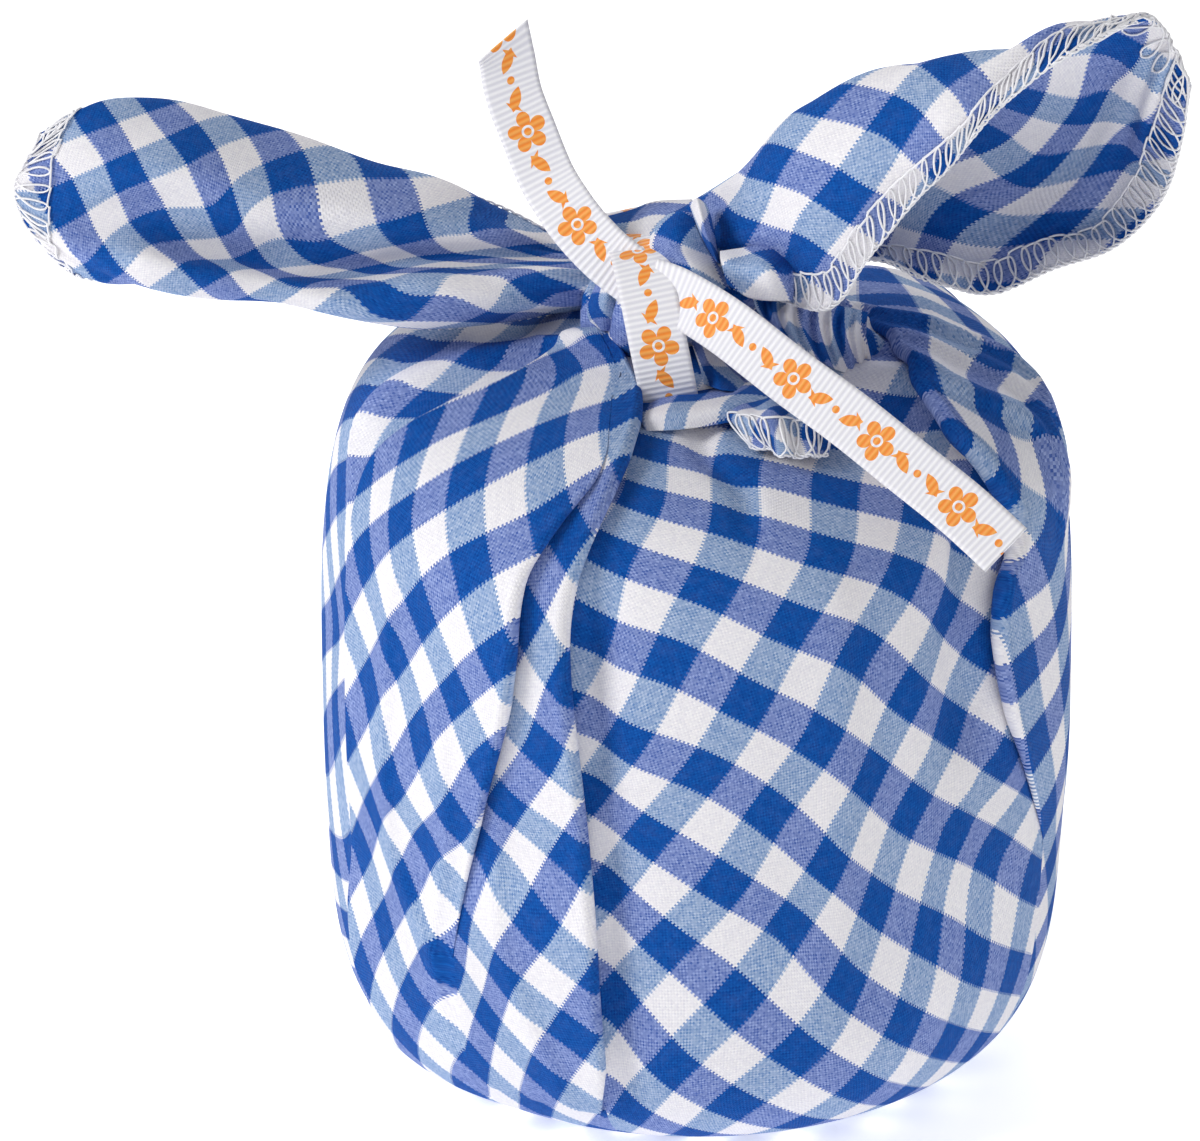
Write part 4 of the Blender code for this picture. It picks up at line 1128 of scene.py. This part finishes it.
def printed_grosgrain():
    """Grosgrain ribbon: white with fine cross ribs, printed with a row of small orange flowers and leaves."""
    finish, tree, shader = new_finish("printed_grosgrain", 0.5, Sheen_Weight=0.25, Specular_IOR_Level=0.3)
    place = add_node(tree, "ShaderNodeUVMap", uv_map="checks").outputs[0]
    parts = add_node(tree, "ShaderNodeSeparateXYZ", {0: place})
    made = {"along": parts.outputs[0], "aside": parts.outputs[1]}
    for name, start, *operations in PRINT_STEPS:
        result = made[start]
        for operation, *values in operations:
            inputs = [result] + [made[value] if isinstance(value, str) else value for value in values]
            result = add_node(tree, "ShaderNodeMath", dict(enumerate(inputs)), operation=operation).outputs[0]
        made[name] = result
    rib = made["rib"]
    # Yarn and ink take their darker tone in each rib's valley: painted shade of the ribs.
    ink = add_node(tree, "ShaderNodeMix", {0: rib, 6: srgb("#f58a2c"), 7: srgb("#fcae55")}, data_type="RGBA")
    yarn = add_node(tree, "ShaderNodeMix", {0: rib, 6: srgb("#e2e1ea"), 7: srgb("#fbfafd")}, data_type="RGBA")
    face = add_node(tree, "ShaderNodeMix", {0: made["printed"], 6: yarn.outputs[2], 7: ink.outputs[2]},
                    data_type="RGBA")
    tree.links.new(face.outputs[2], shader.inputs["Base Color"])
    bump = add_node(tree, "ShaderNodeBump", {"Strength": 0.6, "Distance": 0.0002, "Height": rib}).outputs[0]
    tree.links.new(bump, shader.inputs["Normal"])
    return finish


def stage_and_light():
    """A plain white floor, soft studio light and the camera at the photograph's angle."""
    bpy.ops.object.select_all(action="DESELECT")
    bpy.ops.mesh.primitive_plane_add(size=12)
    floor = bpy.context.object
    floor.name = "floor"
    paper, tree, shader = new_finish("white_seamless_paper", 0.9)
    shader.inputs["Base Color"].default_value = srgb("#fafafa")
    shader.inputs["Emission Color"].default_value = (1, 1, 1, 1)
    shader.inputs["Emission Strength"].default_value = PAPER_GLOW
    floor.data.materials.append(paper)
    floor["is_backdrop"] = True
    world = bpy.data.worlds.new("studio")
    world.use_nodes = True
    world.node_tree.nodes["Background"].inputs[0].default_value = (1, 1, 1, 1)
    world.node_tree.nodes["Background"].inputs[1].default_value = SKY_STRENGTH
    bpy.context.scene.world = world
    bpy.context.scene.view_settings.view_transform = "Standard"
    for name, place, size, power in SOFTBOXES:
        light = bpy.data.lights.new(name, "AREA")
        light.size = size
        light.energy = power
        lamp = bpy.data.objects.new(name, light)
        bpy.context.collection.objects.link(lamp)
        lamp.location = place
        aim = np.array((0, 0, AIM_HEIGHT)) - np.array(place)
        lamp.rotation_euler = (math.acos(-aim[2] / np.linalg.norm(aim)), 0, math.atan2(-aim[0], aim[1]))
    lens = bpy.data.cameras.new("camera")
    lens.sensor_width = 36
    lens.lens = 36 * VIEW_DISTANCE * PIXELS_PER_MM / FRAME_WIDTH
    camera = bpy.data.objects.new("camera", lens)
    bpy.context.collection.objects.link(camera)
    camera.location = (VIEW_TARGET + VIEW_DISTANCE * VIEW_BACK) * MM
    camera.rotation_euler = (math.pi / 2 - VIEW_DOWN, 0, 0)
    bpy.context.scene.camera = camera


# The wrapped body and the knot stand for the cloth with what it holds inside.
cotton = gingham_cotton()
body = wrapped_body(cotton)
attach(body, "root")
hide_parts("furoshiki_cloth")

knot_piece = knot(cotton)
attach(knot_piece, "root")

# The ears and the tucked corner, each with its overlocked edges.
random = np.random.default_rng(STITCH_SEED)
thread = overlock_thread()
for name, table, anchor_sets, origin, flat in (
        ("left_ear", LEFT_EAR, ((LEFT_EAR_CHECKS, 1, 3.3), (LEFT_EAR_TURN_CHECKS, 3.5, 6)), 4, (0.102, 0.075)),
        ("right_ear", RIGHT_EAR, ((RIGHT_EAR_CHECKS, 0, 2), (INNER_EAR_CHECKS, 2.4, 5)), 2, (0.1, 0.087))):
    piece, points = ear(name, table, anchor_sets, origin, cotton)
    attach(piece, "root")
    pitch = STITCH_PITCHES[name]
    threads = overlock(points[::-1].transpose(1, 0, 2)[:, :OVERLOCK_COLUMNS], random, pitch)
    threads += overlock(points[OVERLOCK_FROM:], random, pitch)
    threads += overlock(points[OVERLOCK_FROM:, ::-1], random, pitch)
    sewing = thread_piece(name + "_overlock", threads, thread)
    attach(sewing, "root")

tip, points = corner_tip(cotton)
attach(tip, "root")
threads = overlock(points[::-1].transpose(1, 0, 2), random, STITCH_PITCHES["corner_tip"])
sewing = thread_piece("corner_tip_overlock", threads, thread)
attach(sewing, "root")

# The ribbon's nominal width is the least that a sheet may be declared with; it is built half a millimetre narrower.
grosgrain = printed_grosgrain()
for piece, length in tie_ribbon(grosgrain):
    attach(piece, "root")
    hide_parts("tie_ribbon")
stage_and_light()

boxes = {"cad": CAD_BOX, "visual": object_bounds()}
{name: [list(map(float, corner)) for corner in box] for name, box in boxes.items()}
